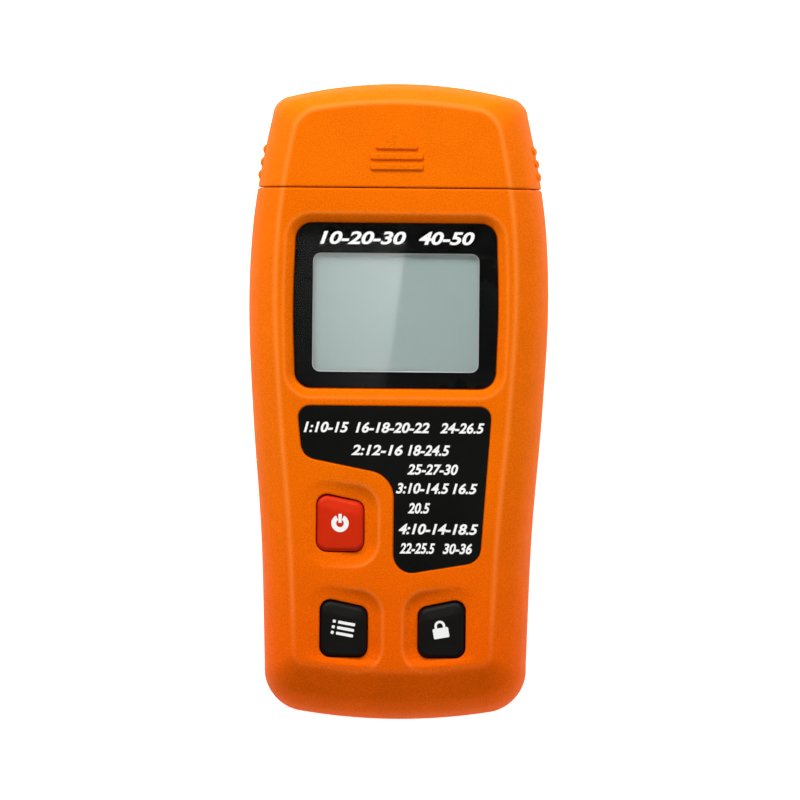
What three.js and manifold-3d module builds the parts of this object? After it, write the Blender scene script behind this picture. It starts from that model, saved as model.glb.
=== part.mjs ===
// Pocket two-pin moisture meter: a moulded case with a display, a species label, three keys,
// a pull-off cap over the probe pins and a 9 V battery behind a sliding door.
// Millimetres. The meter lies on its back: +Z out of the display, +Y towards the cap,
// origin under the middle of the case on the back face.

import * as THREE from 'three';
import { mergeVertices } from 'three/addons/utils/BufferGeometryUtils.js';
import Module from 'manifold-3d';

const wasm = await Module();
wasm.setup();

// ---- overall sizes ----
const LENGTH = 130;
const WIDTH = 61;
const DEPTH = 30;
const PARTING_Z = 13;
const CAP_LENGTH = 21.55;

// ---- walls and clearances ----
const WALL = 2.2;
const FRONT_WALL = 2.6;
const CAP_WALL = 1.8;
const NECK_WALL = 1.6;
const NECK_LENGTH = 6.1;
const SEAM_GAP = 0.2;
const CAP_FIT = 0.3;
const CLEAR = 0.2;
const REBATE_HEIGHT = 1.5;
const REBATE_DEPTH = 1.1;

// ---- case outline ----
// Places along the side, from the tail (0) to the cap's tip (1), and how far each lies inside
// the widest half-width.
const SIDE_STATIONS = [
  [0.085, 3.85], [0.285, 2.95], [0.47, 1.1], [0.63, 0], [0.755, 0.4], [0.855, 2.0], [0.958, 4.7],
];
const TOP_ARC_RADIUS = 93;
const TAIL_ARC_RADIUS = 118;
const SIDE_SAMPLES = 8;
const RING_STEPS = 6;
const ARC_STEPS = 2;
const ROUND_SIDES = 14;
const SMALL_SIDES = 12;
const LEAST_CORNER = 0.8;
// Rings of the case from its back to its front: how far each lies inside the outline at the
// sides, at the sides near the tail, at the top and at the tail, and its two corner sizes.
const RINGS = [
  { rise: 0, side: 4.2, taper: 0.2, top: 3.2, tail: 3.6, topCorner: 3.4, tailCorner: 6 },
  { rise: 0.047, side: 1.9, taper: 0.1, top: 1.4, tail: 1.6, topCorner: 3, tailCorner: 6.4 },
  { rise: 0.15, side: 0.5, taper: 0, top: 0.4, tail: 0.4, topCorner: 2.8, tailCorner: 6.8 },
  { rise: 0.36, side: 0, taper: 0, top: 0, tail: 0, topCorner: 2.8, tailCorner: 6.8 },
  { rise: 0.54, side: 0, taper: 0, top: 0, tail: 0, topCorner: 2.8, tailCorner: 6.8 },
  { rise: 0.72, side: 0.6, taper: 0, top: 0.4, tail: 1, topCorner: 2.9, tailCorner: 6.6 },
  { rise: 0.86, side: 1.9, taper: 0.3, top: 1.2, tail: 3.4, topCorner: 3.2, tailCorner: 5.4 },
  { rise: 1, side: 5.1, taper: 1.3, top: 3.5, tail: 9.5, topCorner: 4, tailCorner: 2.2 },
];

// ---- display ----
const BEZEL_MARGIN = 3.75;
const BEZEL_HEIGHT = 33.75;
const BEZEL_BELOW_SEAM = 7.05;
const BEZEL_RADIUS = 3.4;
const BEZEL_BULGE = 0.65;
const BEZEL_SIDE_RADIUS = 200;
const WINDOW_BORDER_SIDE = 4.4;
const WINDOW_BORDER_TOP = 6.35;
const WINDOW_BORDER_BOTTOM = 3.5;
const WINDOW_RADIUS = 1.4;
const WINDOW_LEDGE = 0.5;
const LENS_THICKNESS = 0.8;
const MASK_THICKNESS = 0.2;
const LENS_RECESS = 1;
const LCD_OVERLAP = 2;
const LCD_THICKNESS = 1.8;
const BACKLIGHT_THICKNESS = 1.2;
const ZEBRA_WIDTH = 1.8;

// ---- keys and switches ----
const KEY_WIDTH = 9.5;
const KEY_HEIGHT = 12;
const KEY_SLANT = 2.1;
const KEY_RADIUS = 2;
const KEY_FROM_CENTRE = 10;
const KEY_ROW_FROM_TAIL = 12.87;
const POWER_OFFSET_X = 0.9;
const POWER_RISE = 21.5;
const KEY_PROUD = 0.1;
const KEY_FLANGE = 0.8;
const KEY_FLANGE_THICKNESS = 0.8;
const KEY_TRAVEL = 0.6;
const KEY_DISH_MARGIN = 2.8;
const KEY_DISH_DEPTH = 0.9;
const SWITCH_SIZE = 6;
const SWITCH_HEIGHT = 1.9;
const SWITCH_FLOOR = 0.3;
const PLUNGER_RADIUS = 1.6;
const PLUNGER_TRAVEL = 0.48;
const PLUNGER_GAP = 0.15;

// ---- species label ----
const LABEL_GAP_ABOVE = 3.65;
const LABEL_MARGIN_TOP = 3.9;
const LABEL_MARGIN_TAIL = 3.55;
const LABEL_GAP_BELOW = 7.5;
const LABEL_SHOULDER = 10.4;
const LABEL_FALL = 3.7;
const LABEL_LEAN = 1.1;
const LABEL_TOE = 3;
const LABEL_RADIUS = 2.4;
const LABEL_LOW_RADIUS = 3.4;
const LABEL_TOE_RADIUS = 3.8;
const LABEL_STEP_RADIUS = 5.7;
const LABEL_THICKNESS = 0.25;
const LABEL_RECESS = 0.35;

// ---- cap details ----
const ARROW_HEIGHT = 0.4;
const ARROW_FROM_TIP = 8.4;
const ARROW_LENGTH = 5.1;
const ARROW_HALF_WIDTH = 4.7;
const ARROW_CORNER = 0.3;
const BAR_HALF_WIDTH = 5.35;
const BAR_THICKNESS = 1.15;
const BAR_GAP = 0.95;
const BAR_COUNT = 2;
const RIB_COUNT = 3;
const RIB_PITCH = 2.6;
const RIB_FROM_TIP = 13.7;
const RIB_RADIUS = 1.2;
const RIB_PROUD = 0.35;
const RIB_LOW_Z = 7.5;
const RIB_HIGH_Z = 19.8;

// ---- probe pins ----
const PIN_SPACING = 26;
const PIN_RADIUS = 0.95;
const PIN_SHANK_RADIUS = 1.6;
const PIN_REACH = 9.2;
const PIN_TIP_LENGTH = 3.6;
const PIN_POINT_LENGTH = 0.8;
const PIN_BLOCK_LENGTH = 13;
const PIN_BLOCK_SEAT = 3.5;
const PIN_BLOCK_MARGIN = 4.5;
const PIN_BLOCK_GAP = 0.45;
const PIN_NOSE_PROUD = 1;
const PIN_NOSE_STEP = 1.2;
const NUT_RADIUS = 3;
const NUT_LENGTH = 2.7;
const NUT_EDGE = 0.4;
const NUT_SIDES = 18;
const PIN_LEAD_RADIUS = 0.6;
// Places along a wire from its start: sideways, along the case and forwards. The last place has
// no third number, because the wire ends at the board.
const PIN_LEAD_PATH = [[0, 0, 0], [0, -1.6, 0.4], [-1, -3, 2.4], [-1, -3.2]];

// ---- battery, bay and door ----
const BATTERY = { width: 26.5, depth: 17.5, body: 46, corner: 2 };
const TERMINAL_SPACING = 12.7;
const TERMINAL_HEIGHT = 2.5;
const STUD_RADIUS = 2.9;
const SOCKET_RADIUS = 3.7;
const SNAP_THICKNESS = 4.6;
const SNAP_MARGIN = 0.6;
const SNAP_HALF_DEPTH = 6.2;
const LEAD_RADIUS = 0.7;
const LEAD_FROM_CENTRE = 3.2;
const LEAD_PATH = [[0, 0, 0], [0, 3.8, 0], [1, 7.8, 3], [2, 9.3, 6], [2, 9.5]];
const LEAD_NOTCH = { half: 7, below: 2.25, above: 3.75 };
const BAY_FIT = 0.4;
const BAY_WALL = 1.2;
const BAY_FROM_TAIL = 5.9;
const BAY_ENDROOM = 1;
const BAY_FLOOR_Z = 0.5;
const DOOR_THICKNESS = 2.3;
const DOOR_TONGUE = 0.7;
const DOOR_TONGUE_THICKNESS = 1;
const DOOR_MARGIN = 0.65;
const RAIL_WIDTH = 2.75;
const RAIL_HEIGHT = 4.5;
const GRIP = { count: 4, pitch: 2.4, half: 7, width: 1.2, depth: 0.6, fromEnd: 6 };

// ---- board ----
const BOARD_THICKNESS = 1.6;
const BOARD_HALF_WIDTH = 19.5;
const BOARD_TAIL_HALF_WIDTH = 14.6;
const BOARD_FROM_TAIL = 8.5;
const BOARD_BELOW_SEAM = 2.05;
const BOARD_WAIST_BELOW_DISPLAY = 8;
const BOARD_CORNER = 1;
const CONTROLLER = { x: 0, y: 3, width: 12, length: 12, height: 1.4 };
const AMPLIFIER = { x: -12, y: 6, width: 5, length: 6, height: 1.5 };
const CRYSTAL = { x: -12, y: -4, width: 4.6, length: 11, height: 3.4 };
const CAPACITOR = { x: 12, y: -4, radius: 3.15, height: 7 };

// ---- screws ----
const SCREW_X_TAIL = 19;
const SCREW_X_TOP = 22.3;
const SCREW_FROM_TAIL = 15;
const SCREW_BELOW_SEAM = 6.45;
const SCREW_HEAD_RADIUS = 2.2;
const SCREW_HEAD_HEIGHT = 1.7;
const SCREW_SHANK_RADIUS = 1.15;
const SCREW_SINK = 1.3;
const SCREW_BITE = 6;
const SCREW_PILOT = 0.1;
const BOSS_RADIUS = 2.6;
const HEAD_BOSS_RADIUS = 3.4;
const HEAD_BOSS_ROOF = 1.6;
const BOSS_ROOT = 0.2;
const BOARD_SCREW_X = 15.5;
const BOARD_SCREW_HEAD = 1.9;
const BOARD_SCREW_SHANK = 0.8;
const BOARD_SCREW_HEAD_HEIGHT = 1.1;
const BOARD_SCREW_ABOVE_DISPLAY = 2.9;
const BOARD_SCREW_BELOW_DISPLAY = 3.2;

// ---- places worked out from the sizes above ----
const TOP_Y = LENGTH / 2;
const TAIL_Y = -LENGTH / 2;
const SEAM_Y = TOP_Y - CAP_LENGTH;
const NECK_Y = SEAM_Y + NECK_LENGTH;
const INNER_FRONT_Z = DEPTH - FRONT_WALL;
const DOOR_TOP_Z = DOOR_THICKNESS;
const BATTERY_Z = DOOR_TOP_Z + CLEAR;
const BAY_TOP_Z = BATTERY_Z + BATTERY.depth + CLEAR;
const TUB_TOP_Z = BAY_TOP_Z + BAY_WALL;
const BAY_LOW_Y = TAIL_Y + BAY_FROM_TAIL;
const BATTERY_LOW_Y = BAY_LOW_Y + CLEAR;
const BATTERY_TOP_Y = BATTERY_LOW_Y + BATTERY.body;
const SNAP_LOW_Y = BATTERY_TOP_Y + CLEAR;
const SNAP_TOP_Y = SNAP_LOW_Y + SNAP_THICKNESS;
const BAY_HIGH_Y = SNAP_TOP_Y + BAY_ENDROOM;
const BAY_HALF_WIDTH = BATTERY.width / 2 + BAY_FIT;
const KEY_BASE_Z = INNER_FRONT_Z - CLEAR - KEY_FLANGE_THICKNESS;
const BOARD_TOP_Z = KEY_BASE_Z - KEY_TRAVEL - CLEAR - SWITCH_HEIGHT;
const BOARD_Z = BOARD_TOP_Z - BOARD_THICKNESS;
const BEZEL_TOP_Y = SEAM_Y - BEZEL_BELOW_SEAM;
const BEZEL_LOW_Y = BEZEL_TOP_Y - BEZEL_HEIGHT;
const LENS_SEAT_Z = DEPTH - LENS_RECESS - LENS_THICKNESS - MASK_THICKNESS;
const BOARD_SCREW_Z = BOARD_Z - BOARD_SCREW_HEAD_HEIGHT - CLEAR / 4;
const PIN_BLOCK_LOW_Z = PARTING_Z - PIN_BLOCK_SEAT;
const PIN_BLOCK_HEIGHT = BOARD_SCREW_Z - PIN_BLOCK_GAP - PIN_BLOCK_LOW_Z;
const PIN_Z = PIN_BLOCK_LOW_Z + PIN_BLOCK_HEIGHT / 2;
const BATTERY_MID_Z = BATTERY_Z + BATTERY.depth / 2;
const KEY_ROW_Y = TAIL_Y + KEY_ROW_FROM_TAIL;

// ---- solids ----

function solid(geometry) {
  const bare = geometry.clone();
  bare.deleteAttribute('normal');
  bare.deleteAttribute('uv');
  const merged = mergeVertices(bare, 1e-4);
  return new wasm.Manifold(new wasm.Mesh({
    numProp: 3,
    vertProperties: new Float32Array(merged.attributes.position.array),
    triVerts: new Uint32Array(merged.index.array),
  }));
}

function geometryOf(manifold) {
  const mesh = manifold.getMesh();
  const geometry = new THREE.BufferGeometry();
  geometry.setAttribute('position', new THREE.BufferAttribute(mesh.vertProperties, 3));
  geometry.setIndex(new THREE.BufferAttribute(mesh.triVerts, 1));
  return geometry;
}

function prism(shape, lowZ, highZ) {
  const settings = { depth: highZ - lowZ, bevelEnabled: false, curveSegments: ARC_STEPS };
  return solid(new THREE.ExtrudeGeometry(shape, settings).translate(0, 0, lowZ));
}

function box(low, high) {
  const size = high.map((value, axis) => value - low[axis]);
  const geometry = new THREE.BoxGeometry(...size);
  return solid(geometry.translate(...low.map((value, axis) => value + size[axis] / 2)));
}

function cylinder(x, y, radius, lowZ, highZ, sides = ROUND_SIDES) {
  const geometry = new THREE.CylinderGeometry(radius, radius, highZ - lowZ, sides);
  return solid(geometry.rotateX(Math.PI / 2).translate(x, y, (lowZ + highZ) / 2));
}

function cylinderAlongY(x, z, radius, lowY, highY) {
  const geometry = new THREE.CylinderGeometry(radius, radius, highY - lowY, ROUND_SIDES);
  return solid(geometry.translate(x, (lowY + highY) / 2, z));
}

// A shape with straight edges and rounded corners; each corner is [x, y, radius].
function roundedShape(corners) {
  const shape = new THREE.Shape();
  corners.forEach(([x, y, radius], index) => {
    const corner = new THREE.Vector2(x, y);
    const before = new THREE.Vector2(...corners.at(index - 1));
    const after = new THREE.Vector2(...corners[(index + 1) % corners.length]);
    const inward = before.sub(corner).normalize();
    const outward = after.sub(corner).normalize();
    const halfAngle = Math.acos(THREE.MathUtils.clamp(inward.dot(outward), -1, 1)) / 2;
    const tangent = radius / Math.tan(halfAngle);
    const start = corner.clone().addScaledVector(inward, tangent);
    const end = corner.clone().addScaledVector(outward, tangent);
    const bisector = inward.clone().add(outward).normalize();
    const centre = corner.clone().addScaledVector(bisector, radius / Math.sin(halfAngle));
    const startAngle = start.clone().sub(centre).angle();
    const endAngle = end.clone().sub(centre).angle();
    const clockwise = inward.cross(outward) > 0;
    if (index === 0) {
      shape.moveTo(start.x, start.y);
    } else {
      shape.lineTo(start.x, start.y);
    }
    shape.absarc(centre.x, centre.y, radius, startAngle, endAngle, clockwise);
  });
  return shape;
}

function rectangle(lowX, lowY, highX, highY, radius) {
  return roundedShape([
    [lowX, lowY, radius], [highX, lowY, radius], [highX, highY, radius], [lowX, highY, radius],
  ]);
}

// ---- the case's outer form ----

const sideCurve = new THREE.SplineCurve(
  SIDE_STATIONS.map(([along, inset]) => new THREE.Vector2(TAIL_Y + along * LENGTH, WIDTH / 2 - inset)),
);

// Half-width of the case at a place along its length.
function halfWidthAt(y) {
  let low = 0;
  let high = 1;
  if (y <= sideCurve.getPoint(0).x) {
    return sideCurve.getPoint(0).y;
  }
  for (let step = 0; step < 30; step += 1) {
    const middle = (low + high) / 2;
    if (sideCurve.getPoint(middle).x < y) {
      low = middle;
    } else {
      high = middle;
    }
  }
  return sideCurve.getPoint(low).y;
}

// The outline of one ring, drawn anticlockwise from the tail's right-hand corner.
function ringShape(ring, inset) {
  const topY = TOP_Y - ring.top - inset;
  const tailY = TAIL_Y + ring.tail + inset;
  const topCorner = Math.max(ring.topCorner - inset, LEAST_CORNER);
  const tailCorner = Math.max(ring.tailCorner - inset, LEAST_CORNER);
  const widthAt = (y) => halfWidthAt(y) - ring.side - inset - ring.taper * (TOP_Y - y) / LENGTH;
  const endSag = (x, radius) => x * x / (2 * radius);
  const tailCornerX = widthAt(tailY);
  const tailCornerY = tailY + endSag(tailCornerX, TAIL_ARC_RADIUS);
  const topCornerX = widthAt(topY - endSag(widthAt(topY), TOP_ARC_RADIUS));
  const topCornerY = topY - endSag(topCornerX, TOP_ARC_RADIUS);
  const tailEnd = new THREE.Vector2(tailCornerX - tailCorner, 0);
  tailEnd.y = tailY + endSag(tailEnd.x, TAIL_ARC_RADIUS);
  const topEnd = new THREE.Vector2(topCornerX - topCorner, 0);
  topEnd.y = topY - endSag(topEnd.x, TOP_ARC_RADIUS);
  const sideLow = tailCornerY + tailCorner;
  const sideHigh = topCornerY - topCorner;
  const sides = Array.from({ length: SIDE_SAMPLES + 1 }, (_, index) => {
    const y = THREE.MathUtils.lerp(sideLow, sideHigh, index / SIDE_SAMPLES);
    return new THREE.Vector2(widthAt(y), y);
  });
  const shape = new THREE.Shape();
  const bend = (from, cornerX, cornerY, to) => {
    const round = 0.55;
    const lerp = THREE.MathUtils.lerp;
    shape.bezierCurveTo(
      lerp(from.x, cornerX, round), lerp(from.y, cornerY, round),
      lerp(to.x, cornerX, round), lerp(to.y, cornerY, round), to.x, to.y,
    );
  };
  const mirrored = (point) => new THREE.Vector2(-point.x, point.y);
  shape.moveTo(tailEnd.x, tailEnd.y);
  bend(tailEnd, tailCornerX, tailCornerY, sides[0]);
  sides.slice(1).forEach((point) => shape.lineTo(point.x, point.y));
  bend(sides.at(-1), topCornerX, topCornerY, topEnd);
  shape.quadraticCurveTo(0, 2 * topY - topEnd.y, -topEnd.x, topEnd.y);
  bend(mirrored(topEnd), -topCornerX, topCornerY, mirrored(sides.at(-1)));
  sides.slice(0, -1).reverse().forEach((point) => shape.lineTo(-point.x, point.y));
  bend(mirrored(sides[0]), -tailCornerX, tailCornerY, mirrored(tailEnd));
  shape.quadraticCurveTo(0, 2 * tailY - tailEnd.y, tailEnd.x, tailEnd.y);
  return shape;
}

// A closed skin through outlines that all have the same number of points.
function loft(sections) {
  const rows = sections.map(({ shape }) => shape.getPoints(RING_STEPS).slice(0, -1));
  const count = rows[0].length;
  const positions = rows.flatMap((row, level) => (
    row.flatMap((point) => [point.x, point.y, sections[level].z])
  ));
  const ends = THREE.ShapeUtils.triangulateShape(rows[0], []);
  const lidEnds = THREE.ShapeUtils.triangulateShape(rows.at(-1), []);
  const lid = (rows.length - 1) * count;
  const faces = ends.flatMap(([a, b, c]) => [a, c, b]);
  faces.push(...lidEnds.flatMap(([a, b, c]) => [lid + a, lid + b, lid + c]));
  for (let level = 0; level < rows.length - 1; level += 1) {
    for (let index = 0; index < count; index += 1) {
      const a = level * count + index;
      const b = level * count + (index + 1) % count;
      faces.push(a, b, b + count, a, b + count, a + count);
    }
  }
  const geometry = new THREE.BufferGeometry();
  geometry.setAttribute('position', new THREE.Float32BufferAttribute(positions, 3));
  geometry.setIndex(faces);
  return solid(geometry);
}

// The case's outer form, or the same form drawn inwards by a wall.
function caseForm(inset = 0, frontInset = inset) {
  return loft(RINGS.map((ring) => ({
    shape: ringShape(ring, inset),
    z: inset + ring.rise * (DEPTH - inset - frontInset),
  })));
}

// Everything on one side of a plane, as a block much larger than the case.
function slab({ minY = -2 * LENGTH, maxY = 2 * LENGTH, minZ = -DEPTH, maxZ = 2 * DEPTH }) {
  return box([-WIDTH, minY, minZ], [WIDTH, maxY, maxZ]);
}

const plateauHalfWidthAt = (y) => {
  const ring = RINGS.at(-1);
  return halfWidthAt(y) - ring.side - ring.taper * (TOP_Y - y) / LENGTH;
};

// ---- outlines on the front face ----

const BEZEL_HALF_WIDTH = plateauHalfWidthAt((BEZEL_TOP_Y + BEZEL_LOW_Y) / 2) - BEZEL_MARGIN;

function bezelShape(grow) {
  const half = BEZEL_HALF_WIDTH + grow;
  const waist = half - BEZEL_BULGE;
  const top = BEZEL_TOP_Y + grow;
  const low = BEZEL_LOW_Y - grow;
  const radius = BEZEL_RADIUS + grow;
  const middle = (top + low) / 2;
  return roundedShape([
    [-waist, low, radius], [waist, low, radius], [half, middle, BEZEL_SIDE_RADIUS],
    [waist, top, radius], [-waist, top, radius], [-half, middle, BEZEL_SIDE_RADIUS],
  ]);
}

const windowBox = {
  half: BEZEL_HALF_WIDTH - WINDOW_BORDER_SIDE,
  low: BEZEL_LOW_Y + WINDOW_BORDER_BOTTOM,
  top: BEZEL_TOP_Y - WINDOW_BORDER_TOP,
};

function windowShape(grow) {
  const { half, low, top } = windowBox;
  const radius = WINDOW_RADIUS + Math.max(grow, 0);
  return rectangle(-half - grow, low - grow, half + grow, top + grow, radius);
}

// Each key's top edge falls towards the middle of the case.
const keys = [
  { name: 'power', x: -KEY_FROM_CENTRE - POWER_OFFSET_X, low: KEY_ROW_Y + POWER_RISE, side: -1 },
  { name: 'mode', x: -KEY_FROM_CENTRE, low: KEY_ROW_Y, side: -1 },
  { name: 'hold', x: KEY_FROM_CENTRE, low: KEY_ROW_Y, side: 1 },
];

function keyShape(key, grow) {
  const outer = key.x + key.side * (KEY_WIDTH / 2 + grow);
  const inner = key.x - key.side * (KEY_WIDTH / 2 + grow);
  const low = key.low - grow;
  const high = key.low + KEY_HEIGHT + grow;
  const radius = KEY_RADIUS + grow;
  return roundedShape([
    [outer, low, radius], [inner, low, radius],
    [inner, high - KEY_SLANT, radius], [outer, high, radius],
  ]);
}

// The label fills the face between display and keys, and steps round the power key.
function labelShape(grow) {
  const top = BEZEL_LOW_Y - LABEL_GAP_ABOVE + grow;
  const low = KEY_ROW_Y + KEY_HEIGHT + LABEL_GAP_BELOW - grow;
  const shoulder = top - LABEL_SHOULDER - 2 * grow;
  const topHalf = plateauHalfWidthAt(top) - LABEL_MARGIN_TOP + grow;
  const tailHalf = plateauHalfWidthAt(low) - LABEL_MARGIN_TAIL + grow;
  return roundedShape([
    [-grow, low - LABEL_TOE, LABEL_TOE_RADIUS + grow],
    [tailHalf, low, LABEL_LOW_RADIUS + grow],
    [topHalf, top, LABEL_RADIUS + grow],
    [-topHalf, top, LABEL_RADIUS + grow],
    [-topHalf + LABEL_LEAN, shoulder, LABEL_LOW_RADIUS + grow],
    [-grow, shoulder - LABEL_FALL, LABEL_STEP_RADIUS - grow],
  ]);
}

function speciesLabel() {
  const low = DEPTH - LABEL_RECESS;
  return prism(labelShape(0), low, low + LABEL_THICKNESS);
}

// ---- battery bay and door ----

const DOOR_HALF_WIDTH = BAY_HALF_WIDTH + DOOR_MARGIN;
const DOOR_END_Y = BAY_HIGH_Y + DOOR_MARGIN;
const TONGUE_Z = DOOR_TOP_Z - DOOR_TONGUE_THICKNESS;

function bayTub(grow) {
  const half = BAY_HALF_WIDTH + BAY_WALL + grow;
  return box(
    [-half, BAY_LOW_Y - BAY_WALL - grow, BAY_FLOOR_Z],
    [half, BAY_HIGH_Y + BAY_WALL + grow, TUB_TOP_Z + grow],
  );
}

function doorBlocks(grow) {
  const half = DOOR_HALF_WIDTH + grow;
  const plate = box([-half, 2 * TAIL_Y, -1], [half, DOOR_END_Y + grow, DOOR_TOP_Z + grow]);
  const reach = half + DOOR_TONGUE;
  const tongue = box(
    [-reach, 2 * TAIL_Y, TONGUE_Z - grow],
    [reach, DOOR_END_Y + DOOR_TONGUE + grow, DOOR_TOP_Z + grow],
  );
  return plate.add(tongue);
}

function batteryDoor() {
  let door = doorBlocks(0).intersect(caseForm());
  for (let index = 0; index < GRIP.count; index += 1) {
    const y = DOOR_END_Y - GRIP.fromEnd - GRIP.pitch * index;
    const groove = box([-GRIP.half, y - GRIP.width / 2, -1], [GRIP.half, y + GRIP.width / 2, GRIP.depth]);
    door = door.subtract(groove);
  }
  return door;
}

// ---- case shells ----

const caseScrews = [
  [-SCREW_X_TAIL, TAIL_Y + SCREW_FROM_TAIL], [SCREW_X_TAIL, TAIL_Y + SCREW_FROM_TAIL],
  [-SCREW_X_TOP, SEAM_Y - SCREW_BELOW_SEAM], [SCREW_X_TOP, SEAM_Y - SCREW_BELOW_SEAM],
];
const SCREW_SEAT_Z = SCREW_SINK + SCREW_HEAD_HEIGHT;
const boardScrews = [
  BEZEL_TOP_Y + BOARD_SCREW_ABOVE_DISPLAY, BEZEL_LOW_Y - BOARD_SCREW_BELOW_DISPLAY,
].flatMap((y) => [[-BOARD_SCREW_X, y], [BOARD_SCREW_X, y]]);

// The closed case without its cap: the full form up to the seam, and the neck inside the cap.
function closedCase() {
  const body = caseForm().intersect(slab({ maxY: SEAM_Y }));
  const neck = caseForm(CAP_WALL + CAP_FIT).intersect(slab({ maxY: NECK_Y }));
  return body.add(neck);
}

function caseHollow() {
  const body = caseForm(WALL, FRONT_WALL).intersect(slab({ maxY: SEAM_Y - WALL }));
  const neck = caseForm(CAP_WALL + CAP_FIT + NECK_WALL).intersect(slab({ maxY: NECK_Y - NECK_WALL }));
  return body.add(neck);
}

function frontCase() {
  let shell = closedCase().subtract(caseHollow());
  shell = shell.intersect(slab({ minZ: PARTING_Z + SEAM_GAP / 2 }));
  const lipRoom = caseForm(REBATE_DEPTH).intersect(slab({
    maxY: SEAM_Y - WALL, maxZ: PARTING_Z + REBATE_HEIGHT + SEAM_GAP,
  }));
  shell = shell.subtract(lipRoom);
  const rootZ = INNER_FRONT_Z + BOSS_ROOT;
  caseScrews.forEach(([x, y]) => {
    shell = shell.add(cylinder(x, y, BOSS_RADIUS, PARTING_Z + SEAM_GAP / 2, rootZ));
  });
  boardScrews.forEach(([x, y]) => {
    shell = shell.add(cylinder(x, y, BOARD_SCREW_HEAD, BOARD_TOP_Z + CLEAR, rootZ));
  });
  caseScrews.forEach(([x, y]) => {
    const top = PARTING_Z + SCREW_BITE + 1;
    shell = shell.subtract(cylinder(x, y, SCREW_SHANK_RADIUS + SCREW_PILOT, PARTING_Z - 1, top));
  });
  boardScrews.forEach(([x, y]) => {
    const radius = BOARD_SCREW_SHANK + SCREW_PILOT;
    shell = shell.subtract(cylinder(x, y, radius, BOARD_Z, INNER_FRONT_Z, SMALL_SIDES));
  });
  keys.forEach((key) => {
    shell = shell.subtract(prism(keyShape(key, KEY_DISH_MARGIN), DEPTH - KEY_DISH_DEPTH, DEPTH + 1));
    shell = shell.subtract(prism(keyShape(key, CLEAR), INNER_FRONT_Z - 1, DEPTH + 1));
    const flangeRoom = keyShape(key, KEY_FLANGE + CLEAR);
    shell = shell.subtract(prism(flangeRoom, KEY_BASE_Z - KEY_TRAVEL - CLEAR, INNER_FRONT_Z));
  });
  shell = shell.subtract(prism(bezelShape(CLEAR), LENS_SEAT_Z, DEPTH + 1));
  shell = shell.subtract(prism(windowShape(WINDOW_LEDGE), INNER_FRONT_Z - 1, DEPTH + 1));
  shell = shell.subtract(prism(labelShape(CLEAR / 2), DEPTH - LABEL_RECESS, DEPTH + 1));
  return shell.subtract(bayTub(CLEAR)).subtract(pinNoseHole());
}

function rearCase() {
  const lip = caseForm(REBATE_DEPTH + CLEAR / 2).intersect(slab({
    maxY: SEAM_Y - WALL, minZ: PARTING_Z - 2, maxZ: PARTING_Z + REBATE_HEIGHT,
  }));
  let shell = closedCase().intersect(slab({ maxZ: PARTING_Z - SEAM_GAP / 2 })).add(lip);
  shell = shell.subtract(caseHollow());
  const railHalf = BAY_HALF_WIDTH + RAIL_WIDTH;
  const rails = box([-railHalf, TAIL_Y, 0], [railHalf, BAY_HIGH_Y + 2 * BAY_WALL, RAIL_HEIGHT]);
  shell = shell.add(rails.intersect(caseForm())).add(bayTub(0));
  caseScrews.forEach(([x, y]) => {
    shell = shell.add(cylinder(x, y, HEAD_BOSS_RADIUS, WALL / 2, SCREW_SEAT_Z + HEAD_BOSS_ROOF));
    shell = shell.add(cylinder(x, y, BOSS_RADIUS, WALL / 2, PARTING_Z - SEAM_GAP / 2));
  });
  caseScrews.forEach(([x, y]) => {
    shell = shell.subtract(cylinder(x, y, SCREW_HEAD_RADIUS + CLEAR, -1, SCREW_SEAT_Z));
    shell = shell.subtract(cylinder(x, y, SCREW_SHANK_RADIUS + CLEAR, 0, PARTING_Z + 1));
  });
  const bay = box([-BAY_HALF_WIDTH, BAY_LOW_Y, BAY_FLOOR_Z], [BAY_HALF_WIDTH, BAY_HIGH_Y, BAY_TOP_Z]);
  const leadNotch = box(
    [-LEAD_NOTCH.half, BAY_HIGH_Y - 1, BATTERY_MID_Z - LEAD_NOTCH.below],
    [LEAD_NOTCH.half, BAY_HIGH_Y + 3 * BAY_WALL, BATTERY_MID_Z + LEAD_NOTCH.above],
  );
  shell = shell.subtract(bay).subtract(leadNotch).subtract(doorBlocks(CLEAR / 2));
  return shell.subtract(pinNoseHole());
}

// ---- cap ----

function protectiveCap() {
  const capSide = slab({ minY: SEAM_Y + SEAM_GAP });
  const hollow = caseForm(CAP_WALL).intersect(slab({ minY: SEAM_Y - 1 }));
  let cap = caseForm().intersect(capSide);
  for (let index = 0; index < RIB_COUNT; index += 1) {
    const y = TOP_Y - RIB_FROM_TIP - RIB_PITCH * index;
    const x = halfWidthAt(y) + RIB_PROUD - RIB_RADIUS;
    cap = cap.add(cylinder(x, y, RIB_RADIUS, RIB_LOW_Z, RIB_HIGH_Z));
    cap = cap.add(cylinder(-x, y, RIB_RADIUS, RIB_LOW_Z, RIB_HIGH_Z));
  }
  cap = cap.subtract(hollow);
  const tipY = TOP_Y - ARROW_FROM_TIP;
  const baseY = tipY - ARROW_LENGTH;
  const head = roundedShape([
    [-ARROW_HALF_WIDTH, baseY, ARROW_CORNER], [ARROW_HALF_WIDTH, baseY, ARROW_CORNER],
    [0, tipY, ARROW_CORNER],
  ]);
  const raised = [head];
  for (let index = 0; index < BAR_COUNT; index += 1) {
    const top = baseY - BAR_GAP - index * (BAR_THICKNESS + BAR_GAP);
    raised.push(rectangle(-BAR_HALF_WIDTH, top - BAR_THICKNESS, BAR_HALF_WIDTH, top, ARROW_CORNER));
  }
  raised.forEach((shape) => {
    cap = cap.add(prism(shape, DEPTH - CAP_WALL / 2, DEPTH + ARROW_HEIGHT));
  });
  return cap;
}

// ---- probe pins ----

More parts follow.
